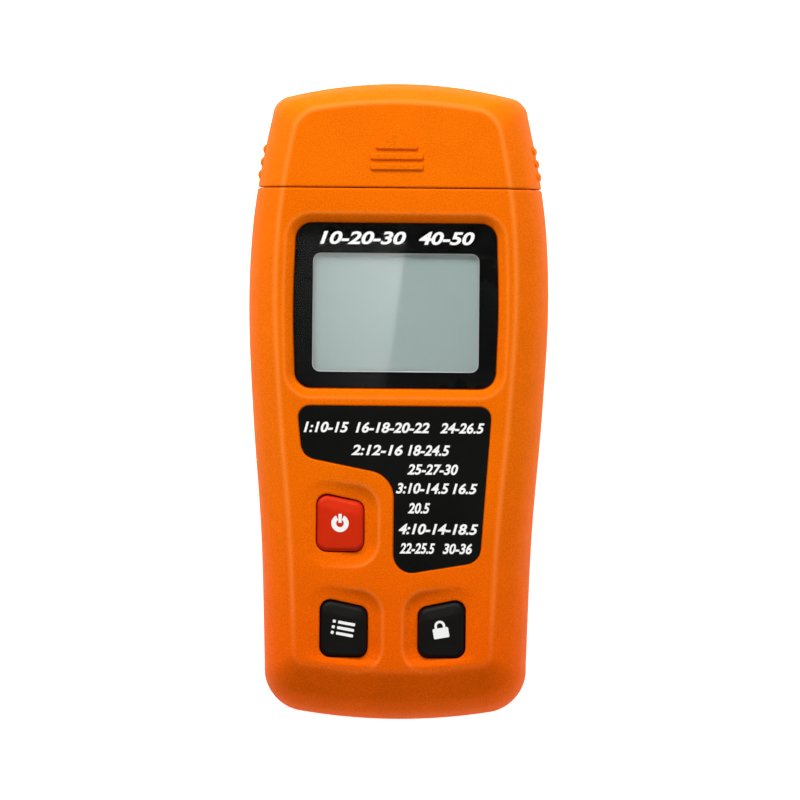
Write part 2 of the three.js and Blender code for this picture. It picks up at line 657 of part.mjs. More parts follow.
const BLOCK_HALF_WIDTH = PIN_SPACING / 2 + PIN_BLOCK_MARGIN;
const NOSE_Y = NECK_Y + PIN_NOSE_PROUD;
const BLOCK_LOW_Y = NOSE_Y - PIN_BLOCK_LENGTH;
const BLOCK_SHOULDER_Y = NECK_Y - NECK_WALL - CLEAR;

function noseBox(grow) {
  const half = BLOCK_HALF_WIDTH - PIN_NOSE_STEP + grow;
  const high = PIN_BLOCK_HEIGHT / 2 - PIN_NOSE_STEP + grow;
  return [[-half, BLOCK_SHOULDER_Y - 1, PIN_Z - high], [half, NOSE_Y, PIN_Z + high]];
}

function pinNoseHole() {
  return box(...noseBox(CLEAR));
}

function pinBlock() {
  const high = PIN_BLOCK_HEIGHT / 2;
  let block = box(
    [-BLOCK_HALF_WIDTH, BLOCK_LOW_Y, PIN_Z - high],
    [BLOCK_HALF_WIDTH, BLOCK_SHOULDER_Y, PIN_Z + high],
  );
  block = block.add(box(...noseBox(0)));
  [-1, 1].forEach((side) => {
    const x = side * PIN_SPACING / 2;
    const radius = PIN_SHANK_RADIUS + CLEAR;
    block = block.subtract(cylinderAlongY(x, PIN_Z, radius, BLOCK_LOW_Y - 1, NOSE_Y + 1));
  });
  return block;
}

function probePin(side) {
  const tipY = NOSE_Y + PIN_REACH;
  const profile = [
    [0, BLOCK_LOW_Y], [PIN_SHANK_RADIUS, BLOCK_LOW_Y],
    [PIN_SHANK_RADIUS, NOSE_Y], [PIN_RADIUS, NOSE_Y],
    [PIN_RADIUS, tipY - PIN_TIP_LENGTH], [PIN_RADIUS / 2, tipY - PIN_POINT_LENGTH], [0, tipY],
  ];
  const points = profile.map(([radius, y]) => new THREE.Vector2(radius, y));
  return solid(new THREE.LatheGeometry(points, ROUND_SIDES).translate(side * PIN_SPACING / 2, 0, PIN_Z));
}

function pinNut(side) {
  const low = NOSE_Y + CLEAR;
  const inner = PIN_RADIUS + CLEAR;
  const high = low + NUT_LENGTH;
  const profile = [
    [inner, low], [NUT_RADIUS, low], [NUT_RADIUS, high - NUT_EDGE],
    [NUT_RADIUS - NUT_EDGE, high], [inner, high], [inner, low],
  ];
  const points = profile.map(([radius, y]) => new THREE.Vector2(radius, y));
  const nut = new THREE.LatheGeometry(points, NUT_SIDES);
  return solid(nut.translate(side * PIN_SPACING / 2, 0, PIN_Z));
}

// A round wire from a start along a path to the board.
function wire([startX, startY, startZ], path, side, radius) {
  const section = new THREE.Shape().absarc(0, 0, radius, 0, 2 * Math.PI);
  const points = path.map(([sideways, along, forward]) => {
    const z = forward === undefined ? BOARD_Z - CLEAR : startZ + forward;
    return new THREE.Vector3(startX + sideways * side, startY + along, z);
  });
  const curve = new THREE.CatmullRomCurve3(points);
  return solid(new THREE.ExtrudeGeometry(section, {
    extrudePath: curve, steps: 10, curveSegments: 4, bevelEnabled: false,
  }));
}

function pinLead(side) {
  const start = [side * PIN_SPACING / 2, BLOCK_LOW_Y - CLEAR, PIN_Z];
  return wire(start, PIN_LEAD_PATH, side, PIN_LEAD_RADIUS);
}

// ---- display stack ----

const LCD_TOP_Z = INNER_FRONT_Z - CLEAR;
const LCD_Z = LCD_TOP_Z - LCD_THICKNESS;

function displayLens() {
  return prism(bezelShape(0), LENS_SEAT_Z + MASK_THICKNESS, DEPTH - LENS_RECESS);
}

function lensMask() {
  return prism(bezelShape(0), LENS_SEAT_Z, LENS_SEAT_Z + MASK_THICKNESS).subtract(
    prism(windowShape(0), LENS_SEAT_Z - 1, LENS_SEAT_Z + 1),
  );
}

function plateUnderWindow(grow, lowZ, highZ) {
  const { half, low, top } = windowBox;
  return box([-half - grow, low - grow, lowZ], [half + grow, top + grow, highZ]);
}

function lcdPanel() {
  return plateUnderWindow(LCD_OVERLAP, LCD_Z, LCD_TOP_Z);
}

function backlightPanel() {
  return plateUnderWindow(-CLEAR, LCD_Z - CLEAR / 2 - BACKLIGHT_THICKNESS, LCD_Z - CLEAR / 2);
}

function zebraStrip(upper) {
  const { half, low, top } = windowBox;
  const y = upper ? top + LCD_OVERLAP - ZEBRA_WIDTH : low - LCD_OVERLAP;
  return box([-half, y, BOARD_TOP_Z], [half, y + ZEBRA_WIDTH, LCD_Z]);
}

// ---- board and what is on it ----

function mainBoard() {
  const top = SEAM_Y - BOARD_BELOW_SEAM;
  const low = TAIL_Y + BOARD_FROM_TAIL;
  const waist = BEZEL_LOW_Y - BOARD_WAIST_BELOW_DISPLAY;
  const outline = [
    [-BOARD_TAIL_HALF_WIDTH, low], [BOARD_TAIL_HALF_WIDTH, low],
    [BOARD_TAIL_HALF_WIDTH, waist], [BOARD_HALF_WIDTH, waist],
    [BOARD_HALF_WIDTH, top], [-BOARD_HALF_WIDTH, top],
    [-BOARD_HALF_WIDTH, waist], [-BOARD_TAIL_HALF_WIDTH, waist],
  ];
  const shape = roundedShape(outline.map(([x, y]) => [x, y, BOARD_CORNER]));
  let board = prism(shape, BOARD_Z, BOARD_TOP_Z);
  boardScrews.forEach(([x, y]) => {
    const radius = BOARD_SCREW_SHANK + CLEAR;
    board = board.subtract(cylinder(x, y, radius, BOARD_Z - 1, BOARD_TOP_Z + 1, SMALL_SIDES));
  });
  return board;
}

const DISPLAY_Y = (BEZEL_TOP_Y + BEZEL_LOW_Y) / 2;
const UNDER_BOARD_Z = BOARD_Z - CLEAR / 2;

// A square part hanging under the board; its place is measured from the middle of the display.
function underBoard({ x, y, width, length, height }) {
  const middle = DISPLAY_Y + y;
  return box(
    [x - width / 2, middle - length / 2, UNDER_BOARD_Z - height],
    [x + width / 2, middle + length / 2, UNDER_BOARD_Z],
  );
}

function filterCapacitor() {
  const { x, y, radius, height } = CAPACITOR;
  return cylinder(x, DISPLAY_Y + y, radius, UNDER_BOARD_Z - height, UNDER_BOARD_Z);
}

function switchBody(key) {
  const y = key.low + KEY_HEIGHT / 2;
  const half = SWITCH_SIZE / 2;
  const body = box(
    [key.x - half, y - half, BOARD_TOP_Z],
    [key.x + half, y + half, BOARD_TOP_Z + SWITCH_HEIGHT],
  );
  const bore = cylinder(key.x, y, PLUNGER_RADIUS + CLEAR / 2, BOARD_TOP_Z + SWITCH_FLOOR, DEPTH);
  return body.subtract(bore);
}

function switchPlunger(key) {
  const low = BOARD_TOP_Z + SWITCH_FLOOR + PLUNGER_TRAVEL + CLEAR / 2;
  return cylinder(key.x, key.low + KEY_HEIGHT / 2, PLUNGER_RADIUS, low, KEY_BASE_Z - PLUNGER_GAP);
}

function keyCap(key) {
  const flange = prism(keyShape(key, KEY_FLANGE), KEY_BASE_Z, KEY_BASE_Z + KEY_FLANGE_THICKNESS);
  return flange.add(prism(keyShape(key, 0), KEY_BASE_Z, DEPTH + KEY_PROUD));
}

// ---- battery ----

function batteryBody() {
  const half = BATTERY.width / 2;
  const shape = rectangle(-half, -BATTERY.depth / 2, half, BATTERY.depth / 2, BATTERY.corner);
  const settings = { depth: BATTERY.body, bevelEnabled: false, curveSegments: 3 };
  const geometry = new THREE.ExtrudeGeometry(shape, settings);
  return solid(geometry.rotateX(-Math.PI / 2).translate(0, BATTERY_LOW_Y, BATTERY_MID_Z));
}

function terminal(side, radius) {
  const x = side * TERMINAL_SPACING / 2;
  return cylinderAlongY(x, BATTERY_MID_Z, radius, BATTERY_TOP_Y, BATTERY_TOP_Y + TERMINAL_HEIGHT);
}

function batterySnap() {
  const half = BATTERY.width / 2 - SNAP_MARGIN;
  let snap = box(
    [-half, SNAP_LOW_Y, BATTERY_MID_Z - SNAP_HALF_DEPTH],
    [half, SNAP_TOP_Y, BATTERY_MID_Z + SNAP_HALF_DEPTH],
  );
  [[-1, STUD_RADIUS], [1, SOCKET_RADIUS]].forEach(([side, radius]) => {
    const x = side * TERMINAL_SPACING / 2;
    const deep = BATTERY_TOP_Y + TERMINAL_HEIGHT + CLEAR;
    snap = snap.subtract(cylinderAlongY(x, BATTERY_MID_Z, radius + CLEAR, SNAP_LOW_Y - 1, deep));
  });
  return snap;
}

function batteryLead(side) {
  const start = [LEAD_FROM_CENTRE * side, SNAP_TOP_Y + CLEAR, BATTERY_MID_Z];
  return wire(start, LEAD_PATH, side, LEAD_RADIUS);
}

// ---- screws ----

// A pan-head screw standing head down, with a cross recess in its head.
function screw(x, y, headZ, head, headHeight, shank, length) {
  const dome = 0.35 * headHeight;
  const profile = [
    [0, 0], [0.75 * head, 0], [head, dome], [head, headHeight], [shank, headHeight],
    [shank, headHeight + length - shank], [0.3 * shank, headHeight + length], [0, headHeight + length],
  ];
  const points = profile.map(([radius, z]) => new THREE.Vector2(radius, z));
  const turned = new THREE.LatheGeometry(points, SMALL_SIDES).rotateX(Math.PI / 2);
  const body = solid(turned.translate(x, y, headZ));
  const arm = 0.6 * head;
  const slot = 0.14 * head;
  const deep = headZ + 0.55 * headHeight;
  return body.subtract(box([x - arm, y - slot, headZ - 1], [x + arm, y + slot, deep]))
    .subtract(box([x - slot, y - arm, headZ - 1], [x + slot, y + arm, deep]));
}

function caseScrew([x, y]) {
  const length = PARTING_Z - SCREW_SEAT_Z + SCREW_BITE;
  return screw(x, y, SCREW_SINK, SCREW_HEAD_RADIUS, SCREW_HEAD_HEIGHT, SCREW_SHANK_RADIUS, length);
}

function boardScrew([x, y]) {
  const length = INNER_FRONT_Z - BOARD_Z - 1;
  return screw(
    x, y, BOARD_SCREW_Z, BOARD_SCREW_HEAD, BOARD_SCREW_HEAD_HEIGHT, BOARD_SCREW_SHANK, length,
  );
}

// ---- assembly ----

const group = new THREE.Group();

function add(name, manifold, color, roughness, metalness = 0) {
  const material = new THREE.MeshStandardMaterial({ color, roughness, metalness });
  const mesh = new THREE.Mesh(geometryOf(manifold), material);
  mesh.name = name;
  group.add(mesh);
}

const ORANGE = '#f2721a';
const BLACK = '#1d1f1e';
const RED = '#d9381e';
const STEEL = '#b9bcc0';
const BRASS = '#c9a24b';

add('front_case', frontCase(), ORANGE, 0.5);
add('rear_case', rearCase(), ORANGE, 0.5);
add('protective_cap', protectiveCap(), ORANGE, 0.5);
add('battery_door', batteryDoor(), ORANGE, 0.5);
add('display_lens', displayLens(), '#e6ecea', 0.1);
add('lens_mask', lensMask(), BLACK, 0.5);
add('lcd_panel', lcdPanel(), '#a3b2ae', 0.3);
add('backlight_panel', backlightPanel(), '#eef0ea', 0.5);
add('zebra_strip_upper', zebraStrip(true), '#3a3c3f', 0.8);
add('zebra_strip_lower', zebraStrip(false), '#3a3c3f', 0.8);
add('species_label', speciesLabel(), BLACK, 0.6);
keys.forEach((key) => {
  add(`${key.name}_key`, keyCap(key), key.name === 'power' ? RED : BLACK, 0.5);
  add(`switch_body_${key.name}`, switchBody(key), '#2b2d30', 0.5);
  add(`switch_plunger_${key.name}`, switchPlunger(key), '#e8e6df', 0.5);
});
add('main_board', mainBoard(), '#1f6b3c', 0.5);
add('controller_chip', underBoard(CONTROLLER), '#18191b', 0.6);
add('amplifier_chip', underBoard(AMPLIFIER), '#18191b', 0.6);
add('crystal', underBoard(CRYSTAL), STEEL, 0.3, 1);
add('filter_capacitor', filterCapacitor(), '#23306b', 0.4);
add('pin_block', pinBlock(), BLACK, 0.6);
[['left', -1], ['right', 1]].forEach(([name, side]) => {
  add(`probe_pin_${name}`, probePin(side), STEEL, 0.25, 1);
  add(`pin_nut_${name}`, pinNut(side), BRASS, 0.35, 1);
  add(`pin_lead_${name}`, pinLead(side), '#d8d8d8', 0.6);
});
add('battery', batteryBody(), '#2a2f3a', 0.4);
add('battery_terminal_positive', terminal(-1, STUD_RADIUS), STEEL, 0.3, 1);
add('battery_terminal_negative', terminal(1, SOCKET_RADIUS), STEEL, 0.3, 1);
add('battery_snap', batterySnap(), BLACK, 0.7);
add('battery_lead_red', batteryLead(-1), '#c0281c', 0.6);
add('battery_lead_black', batteryLead(1), '#151515', 0.6);
caseScrews.forEach((place, index) => {
  add(`case_screw_${index + 1}`, caseScrew(place), STEEL, 0.35, 1);
});
boardScrews.forEach((place, index) => {
  add(`board_screw_${index + 1}`, boardScrew(place), STEEL, 0.35, 1);
});

export default group;
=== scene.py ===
# Looks of a pocket two-pin moisture meter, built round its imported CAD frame.
# Shapes are worked out in millimetres in the frame's own axes (+Z out of the display, +Y towards
# the cap) and turned into metres when a mesh is made.
import math

import bmesh
import bpy
import numpy as np
from mathutils import Matrix, Vector
from mathutils.geometry import delaunay_2d_cdt


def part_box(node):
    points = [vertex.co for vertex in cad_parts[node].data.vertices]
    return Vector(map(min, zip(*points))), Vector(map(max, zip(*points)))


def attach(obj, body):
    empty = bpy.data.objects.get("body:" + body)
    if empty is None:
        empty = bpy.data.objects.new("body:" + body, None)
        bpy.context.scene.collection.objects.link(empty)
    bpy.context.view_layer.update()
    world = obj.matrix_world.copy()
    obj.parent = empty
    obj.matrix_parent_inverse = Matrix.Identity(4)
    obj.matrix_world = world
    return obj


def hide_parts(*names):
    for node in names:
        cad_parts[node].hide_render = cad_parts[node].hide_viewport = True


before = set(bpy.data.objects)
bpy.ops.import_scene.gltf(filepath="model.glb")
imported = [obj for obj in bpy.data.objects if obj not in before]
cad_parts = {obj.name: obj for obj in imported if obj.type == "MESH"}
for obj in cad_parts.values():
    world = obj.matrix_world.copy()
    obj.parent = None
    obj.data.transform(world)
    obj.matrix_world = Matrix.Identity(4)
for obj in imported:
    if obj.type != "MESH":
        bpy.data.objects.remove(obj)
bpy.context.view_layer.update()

MM = 0.001


def node_box(name):
    low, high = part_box(name)
    return np.array(low) / MM, np.array(high) / MM


# ---- sizes taken from the frame ----
CASE_LOW, CASE_HIGH = node_box("front_case")
REAR_LOW, REAR_HIGH = node_box("rear_case")
CAP_LOW, CAP_HIGH = node_box("protective_cap")
DOOR_HIGH = node_box("battery_door")[1]
LENS_LOW, LENS_HIGH = node_box("display_lens")
MASK_LOW, MASK_HIGH = node_box("lens_mask")
LABEL_LOW, LABEL_HIGH = node_box("species_label")
BATTERY_LOW, BATTERY_HIGH = node_box("battery")
SNAP_LOW, SNAP_HIGH = node_box("battery_snap")
BLOCK_LOW, BLOCK_HIGH = node_box("pin_block")

LENGTH = CAP_HIGH[1] - REAR_LOW[1]
TAIL_Y = REAR_LOW[1]
TOP_Y = CAP_HIGH[1]
DEPTH = CASE_HIGH[2]
SEAM_GAP = 0.2
SEAM_Y = CAP_LOW[1] - SEAM_GAP
NECK_Y = CASE_HIGH[1]
PARTING_Z = CASE_LOW[2] - SEAM_GAP / 2
WIDTH = 61.0
WALL = 2.2
FRONT_WALL = 2.6
CAP_WALL = 1.8
NECK_INSET = 2.1
NECK_WALL = 1.6
CLEAR = 0.2
HAIR = 0.02
NOSE_STEP = 1.2

# ---- the case's outline and section ----
# Along the side, from the tail (0) to the cap's tip (1): how far inside the widest half-width.
SIDE_STATIONS = [
    (0.085, 3.85), (0.285, 2.95), (0.47, 1.1), (0.63, 0.0), (0.755, 0.4), (0.855, 2.0), (0.958, 4.7),
]
TOP_ARC_RADIUS = 93.0
TAIL_ARC_RADIUS = 118.0
# Rings from back to front: rise, inset at the sides, extra inset at the tail's sides, inset at the
# top, inset at the tail, size of the top corners, size of the tail corners.
RINGS = np.array([
    (0.0, 4.2, 0.2, 3.2, 3.6, 3.4, 6.0),
    (0.047, 1.9, 0.1, 1.4, 1.6, 3.0, 6.4),
    (0.15, 0.5, 0.0, 0.4, 0.4, 2.8, 6.8),
    (0.36, 0.0, 0.0, 0.0, 0.0, 2.8, 6.8),
    (0.54, 0.0, 0.0, 0.0, 0.0, 2.8, 6.8),
    (0.72, 0.6, 0.0, 0.4, 1.0, 2.9, 6.6),
    (0.86, 1.9, 0.3, 1.2, 3.4, 3.2, 5.4),
    (1.0, 5.1, 1.3, 3.5, 9.5, 4.0, 2.2),
])
EDGE_ROUND = 1.2
EDGE_RISE = 0.034
SEAM_ROUND = 0.35
PARTING_ROUND = 0.3

# ---- keys, display and label on the face ----
KEY_WIDTH = 9.5
KEY_HEIGHT = 12.0
KEY_SLANT = 2.1
KEY_RADIUS = 2.0
KEY_FLANGE = 0.8
DISH_MARGIN = 3.2
DISH_DEPTH = 1.35
DISH_WALL = 3.1
DISH_RIM = 0.35
DISH_LIP = 0.03
DISH_FADE = 1.6
KEY_ROOM_ROUND = 0.25
BEZEL_RADIUS = 3.4
BEZEL_BULGE = 0.65
BEZEL_SIDE_RADIUS = 200
BEZEL_ROUND = 2.0
BEZEL_DROP = 1.05
WINDOW_RADIUS = 1.4
LABEL_ABOVE_KEYS = 7.5
LABEL_MARGIN_TOP = 3.9
LABEL_MARGIN_TAIL = 3.55
LABEL_SHOULDER = 10.4
LABEL_FALL = 3.7
LABEL_LEAN = 1.1
LABEL_TOE = 3.0
LABEL_RADIUS = 2.4
LABEL_LOW_RADIUS = 3.4
LABEL_TOE_RADIUS = 3.8
LABEL_STEP_RADIUS = 5.7
LABEL_ROUND = 0.25
LENS_CHAMFER = 0.12


# ---------------------------------------------------------------- outlines

def spline(points, per_span=24):
    """Points along a uniform Catmull-Rom curve through the given ones."""
    points = np.asarray(points, float)
    padded = np.vstack([points[0], points, points[-1]])
    t = np.linspace(0, 1, per_span, endpoint=False)[:, None]
    spans = []
    for p0, p1, p2, p3 in zip(padded, padded[1:], padded[2:], padded[3:]):
        v0 = (p2 - p0) / 2
        v1 = (p3 - p1) / 2
        cubic = (2 * p1 - 2 * p2 + v0 + v1) * t**3
        spans.append(cubic + (3 * p2 - 3 * p1 - 2 * v0 - v1) * t**2 + v0 * t + p1)
    return np.vstack(spans + [points[-1:]])


SIDE = spline([(TAIL_Y + along * LENGTH, WIDTH / 2 - inset) for along, inset in SIDE_STATIONS])


def half_width(y):
    return np.interp(y, SIDE[:, 0], SIDE[:, 1])


def monotone(x, xs, ys):
    """A smooth curve through (xs, ys) that doesn't overshoot between them."""
    steps = np.diff(xs)
    slopes = np.diff(ys) / steps
    tangents = np.zeros(len(xs))
    for i in range(1, len(xs) - 1):
        if slopes[i - 1] * slopes[i] > 0:
            tangents[i] = 2 * slopes[i - 1] * slopes[i] / (slopes[i - 1] + slopes[i])
    tangents[0] = slopes[0]
    tangents[-1] = slopes[-1]
    i = int(np.clip(np.searchsorted(xs, x) - 1, 0, len(xs) - 2))
    t = (x - xs[i]) / steps[i]
    return ((1 + 2 * t) * (1 - t)**2 * ys[i] + t * (1 - t)**2 * steps[i] * tangents[i]
            + t * t * (3 - 2 * t) * ys[i + 1] + t * t * (t - 1) * steps[i] * tangents[i + 1])


def ring(rise, inset=0.0, fine=1.0):
    """The case's outline at one height, anticlockwise from the middle of the tail."""
    side, taper, top, tail, top_corner, tail_corner = (
        monotone(rise, RINGS[:, 0], RINGS[:, column]) for column in range(1, 7)
    )
    top_y = TOP_Y - top - inset
    tail_y = TAIL_Y + tail + inset
    top_corner = max(top_corner - inset, 0.8)
    tail_corner = max(tail_corner - inset, 0.8)
    ends = max(int(18 * fine), 4)
    bends = max(int(12 * fine), 4)
    sides = max(int(72 * fine), 10)

    def width(y):
        return half_width(y) - side - inset - taper * (TOP_Y - y) / LENGTH

    tail_x = width(tail_y)
    tail_corner_y = tail_y + tail_x**2 / (2 * TAIL_ARC_RADIUS)
    top_x = width(top_y - width(top_y)**2 / (2 * TOP_ARC_RADIUS))
    top_corner_y = top_y - top_x**2 / (2 * TOP_ARC_RADIUS)
    tail_run = np.linspace(0, tail_x - tail_corner, ends)
    tail_arc = np.stack([tail_run, tail_y + tail_run**2 / (2 * TAIL_ARC_RADIUS)], 1)
    top_run = np.linspace(top_x - top_corner, 0, ends)
    top_arc = np.stack([top_run, top_y - top_run**2 / (2 * TOP_ARC_RADIUS)], 1)
    y = np.linspace(tail_corner_y + tail_corner, top_corner_y - top_corner, sides)
    side_run = np.stack([width(y), y], 1)

    def bend(start, corner, end):
        t = np.linspace(0, 1, bends + 2)[1:-1, None]
        near = start + 0.55 * (corner - start)
        far = end + 0.55 * (corner - end)
        return (1 - t)**3 * start + 3 * t * (1 - t)**2 * near + 3 * t * t * (1 - t) * far + t**3 * end

    right = np.vstack([
        tail_arc, bend(tail_arc[-1], np.array([tail_x, tail_corner_y]), side_run[0]), side_run,
        bend(side_run[-1], np.array([top_x, top_corner_y]), top_arc[0]), top_arc,
    ])
    left = right[-2:0:-1] * (-1, 1)
    return np.vstack([right, left])


def at_height(outline, z):
    return np.column_stack([outline, np.full(len(outline), z)])


def rounded(corners, step=0.4):
    """Points round a polygon whose corners are (x, y, radius) arcs, about a step apart."""
    points = []
    count = len(corners)
    for index, (x, y, radius) in enumerate(corners):
        corner = np.array([x, y])
        back = np.array(corners[index - 1][:2]) - corner
        ahead = np.array(corners[(index + 1) % count][:2]) - corner
        back /= np.linalg.norm(back)
        ahead /= np.linalg.norm(ahead)
        half = math.acos(np.clip(back @ ahead, -1, 1)) / 2
        middle = back + ahead
        centre = corner + middle / np.linalg.norm(middle) * radius / math.sin(half)
        start = corner + back * radius / math.tan(half) - centre
        end = corner + ahead * radius / math.tan(half) - centre
        sweep = math.atan2(start[0] * end[1] - start[1] * end[0], start @ end)
        steps = max(int(abs(sweep) * radius / step), 5)
        angles = math.atan2(start[1], start[0]) + np.linspace(0, sweep, steps + 1)
        arc = centre + radius * np.stack([np.cos(angles), np.sin(angles)], 1)
        if points:
            points.extend(between(points[-1], arc[0], step))
        points.extend(arc)
    points.extend(between(points[-1], points[0], step))
    return np.array(points)


def rectangle(left, low, right, high, radius, step):
    return rounded([(left, low, radius), (right, low, radius), (right, high, radius), (left, high, radius)],
                   step)


def between(start, end, step):
    """Points on the way from start to end, without either, about a step apart."""
    length = np.linalg.norm(np.array(end) - start)
    count = int(length / step)
    return [start + (np.array(end) - start) * i / (count + 1) for i in range(1, count + 1)]


def plateau_half_width(y):
    return half_width(y) - RINGS[-1, 1] - RINGS[-1, 2] * (TOP_Y - y) / LENGTH


KEYS = []
for key_name, colour_side in (("power_key", -1), ("mode_key", -1), ("hold_key", 1)):
    key_low, key_high = node_box(key_name)
    KEYS.append({
        "node": key_name, "side": colour_side, "x": (key_low[0] + key_high[0]) / 2,
        "low": key_low[1] + KEY_FLANGE, "base": key_low[2], "top": key_high[2],
    })


def key_outline(key, grow, step=0.4):
    """A key's outline: its top edge falls towards the middle of the case."""
    outer = key["x"] + key["side"] * (KEY_WIDTH / 2 + grow)
    inner = key["x"] - key["side"] * (KEY_WIDTH / 2 + grow)
    low = key["low"] - grow
    high = key["low"] + KEY_HEIGHT + grow
    radius = max(KEY_RADIUS + grow, 0.15)
    return rounded([(outer, low, radius), (inner, low, radius), (inner, high - KEY_SLANT, radius),
                    (outer, high, radius)], step)


def bezel_outline(grow, step=0.4):
    half = LENS_HIGH[0] + grow
    waist = half - BEZEL_BULGE
    top = LENS_HIGH[1] + grow
    low = LENS_LOW[1] - grow
    radius = BEZEL_RADIUS + grow
    middle = (top + low) / 2
    return rounded([(-waist, low, radius), (waist, low, radius), (half, middle, BEZEL_SIDE_RADIUS),
                    (waist, top, radius), (-waist, top, radius), (-half, middle, BEZEL_SIDE_RADIUS)], step)


BACKLIGHT_LOW, BACKLIGHT_HIGH = node_box("backlight_panel")
WINDOW_LOW = BACKLIGHT_LOW[:2] - 0.2
WINDOW_HIGH = BACKLIGHT_HIGH[:2] + 0.2


def window_outline(grow, step=0.4):
    return rectangle(*(WINDOW_LOW - grow), *(WINDOW_HIGH + grow), WINDOW_RADIUS + max(grow, 0), step)


def label_outline(grow, step=0.4):
    top = LABEL_HIGH[1] + grow
    low = KEYS[1]["low"] + KEY_HEIGHT + LABEL_ABOVE_KEYS - grow
    shoulder = top - LABEL_SHOULDER - 2 * grow
    top_half = plateau_half_width(top) - LABEL_MARGIN_TOP + grow
    tail_half = plateau_half_width(low) - LABEL_MARGIN_TAIL + grow
    return rounded([
        (-grow, low - LABEL_TOE, LABEL_TOE_RADIUS + grow), (tail_half, low, LABEL_LOW_RADIUS + grow),
        (top_half, top, LABEL_RADIUS + grow), (-top_half, top, LABEL_RADIUS + grow),
        (-top_half + LABEL_LEAN, shoulder, LABEL_LOW_RADIUS + grow),
        (-grow, shoulder - LABEL_FALL, LABEL_STEP_RADIUS - grow),
    ], step)


def signed_distance(points, outline):
    """Distance from each point to an outline, positive inside it."""
    a = outline
    b = np.roll(outline, -1, axis=0)
    edge = b - a
    result = np.empty(len(points))
    inside = np.zeros(len(points), bool)
    for start in range(0, len(points), 4000):
        p = points[start:start + 4000, None, :]
        t = np.clip(((p - a) * edge).sum(2) / (edge**2).sum(1), 0, 1)
        near = a + t[..., None] * edge
        result[start:start + 4000] = np.sqrt(((p - near)**2).sum(2).min(1))
        crosses = (a[:, 1] > p[..., 1]) != (b[:, 1] > p[..., 1])
        with np.errstate(divide="ignore", invalid="ignore"):
            x = a[:, 0] + (p[..., 1] - a[:, 1]) * edge[:, 0] / edge[:, 1]
        inside[start:start + 4000] = (crosses & (p[..., 0] < x)).sum(1) % 2 == 1
    return np.where(inside, result, -result)


def smooth(x):
    x = np.clip(x, 0, 1)
    return x * x * (3 - 2 * x)


def round_drop(distance, radius):
    """How far a quarter-round edge has dropped at a distance from its corner."""
    d = np.clip(distance, 0, radius)
    return radius - np.sqrt(np.maximum(radius**2 - (radius - d)**2, 0))


# ---------------------------------------------------------------- meshes

AXIS_RADIUS = 1e-3
# A face's mesh: how far loops stay from its outline, and grid points from both, in grid steps.
LOOP_CLEAR = 0.35
OUTLINE_MARGIN = 0.6
LOOP_MARGIN = 0.35


def make_mesh(name, vertices, faces):
    mesh = bpy.data.meshes.new(name)
    mesh.from_pydata((np.asarray(vertices) * MM).tolist(), [], [list(face) for face in faces])
    obj = bpy.data.objects.new(name, mesh)
    bpy.context.collection.objects.link(obj)
    bm = bmesh.new()
    bm.from_mesh(mesh)
    bmesh.ops.remove_doubles(bm, verts=bm.verts, dist=2e-6)
    bmesh.ops.recalc_face_normals(bm, faces=bm.faces)
    bm.to_mesh(mesh)
    bm.free()
    return obj


def bands(levels, count):
    """The quads between rings of count points that follow one another in a list."""
    return [(a + i, a + (i + 1) % count, a + count + (i + 1) % count, a + count + i)
            for a in range(0, (levels - 1) * count, count) for i in range(count)]


def loft(name, loops):
    """A closed skin through loops of points that all have the same count."""
    levels, count = len(loops), len(loops[0])
    ends = [tuple(range(count))[::-1], tuple(range((levels - 1) * count, levels * count))]
    return make_mesh(name, np.vstack(loops), bands(levels, count) + ends)


def prism(name, outline, low, high):
    return loft(name, [at_height(outline, low), at_height(outline, high)])


def block(name, low, high):
    corners = np.array([(low[0], low[1]), (high[0], low[1]), (high[0], high[1]), (low[0], high[1])])
    return prism(name, corners, low[2], high[2])


def round_angles(sides):
    return np.linspace(0, 2 * math.pi, sides, endpoint=False)


def circle(radius, sides=40):
    return radius * np.stack([np.cos(round_angles(sides)), np.sin(round_angles(sides))], 1)


def lathe(name, profile, sides=40):
    """A turned piece round Z; the profile is (radius, z) points from axis to axis."""
    return loft(name, [at_height(circle(max(r, AXIS_RADIUS), sides), z) for r, z in profile])


def combine(target, tool, operation):
    """Cuts, joins or meets two closed pieces; the tool is used up."""
    modifier = target.modifiers.new("combine", "BOOLEAN")
    modifier.operation = operation
    modifier.object = tool
    modifier.solver = "MANIFOLD"
    apply_modifiers(target)
    bpy.data.objects.remove(tool)
    return target


def apply_modifiers(obj):
    depsgraph = bpy.context.evaluated_depsgraph_get()
    mesh = bpy.data.meshes.new_from_object(obj.evaluated_get(depsgraph))
    old = obj.data
    obj.modifiers.clear()
    obj.data = mesh
    bpy.data.meshes.remove(old)


def cut(target, *tools):
    for tool in tools:
        combine(target, tool, "DIFFERENCE")
    return target


def join(target, *tools):
    for tool in tools:
        combine(target, tool, "UNION")
    return target


def keep(target, tool):
    return combine(target, tool, "INTERSECT")


def rod(name, radius, low, high):
    return lathe(name, [(0, low), (radius, low), (radius, high), (0, high)])


def move(obj, x, y, z):
    obj.data.transform(Matrix.Translation(Vector((x, y, z)) * MM))


def copy_of(obj, name):
    twin = bpy.data.objects.new(name, obj.data.copy())
    bpy.context.collection.objects.link(twin)
    return twin


def slab(low_y=-200.0, high_y=200.0, low_z=-50.0, high_z=100.0):
    return block("slab", (-60, low_y, low_z), (60, high_y, high_z))


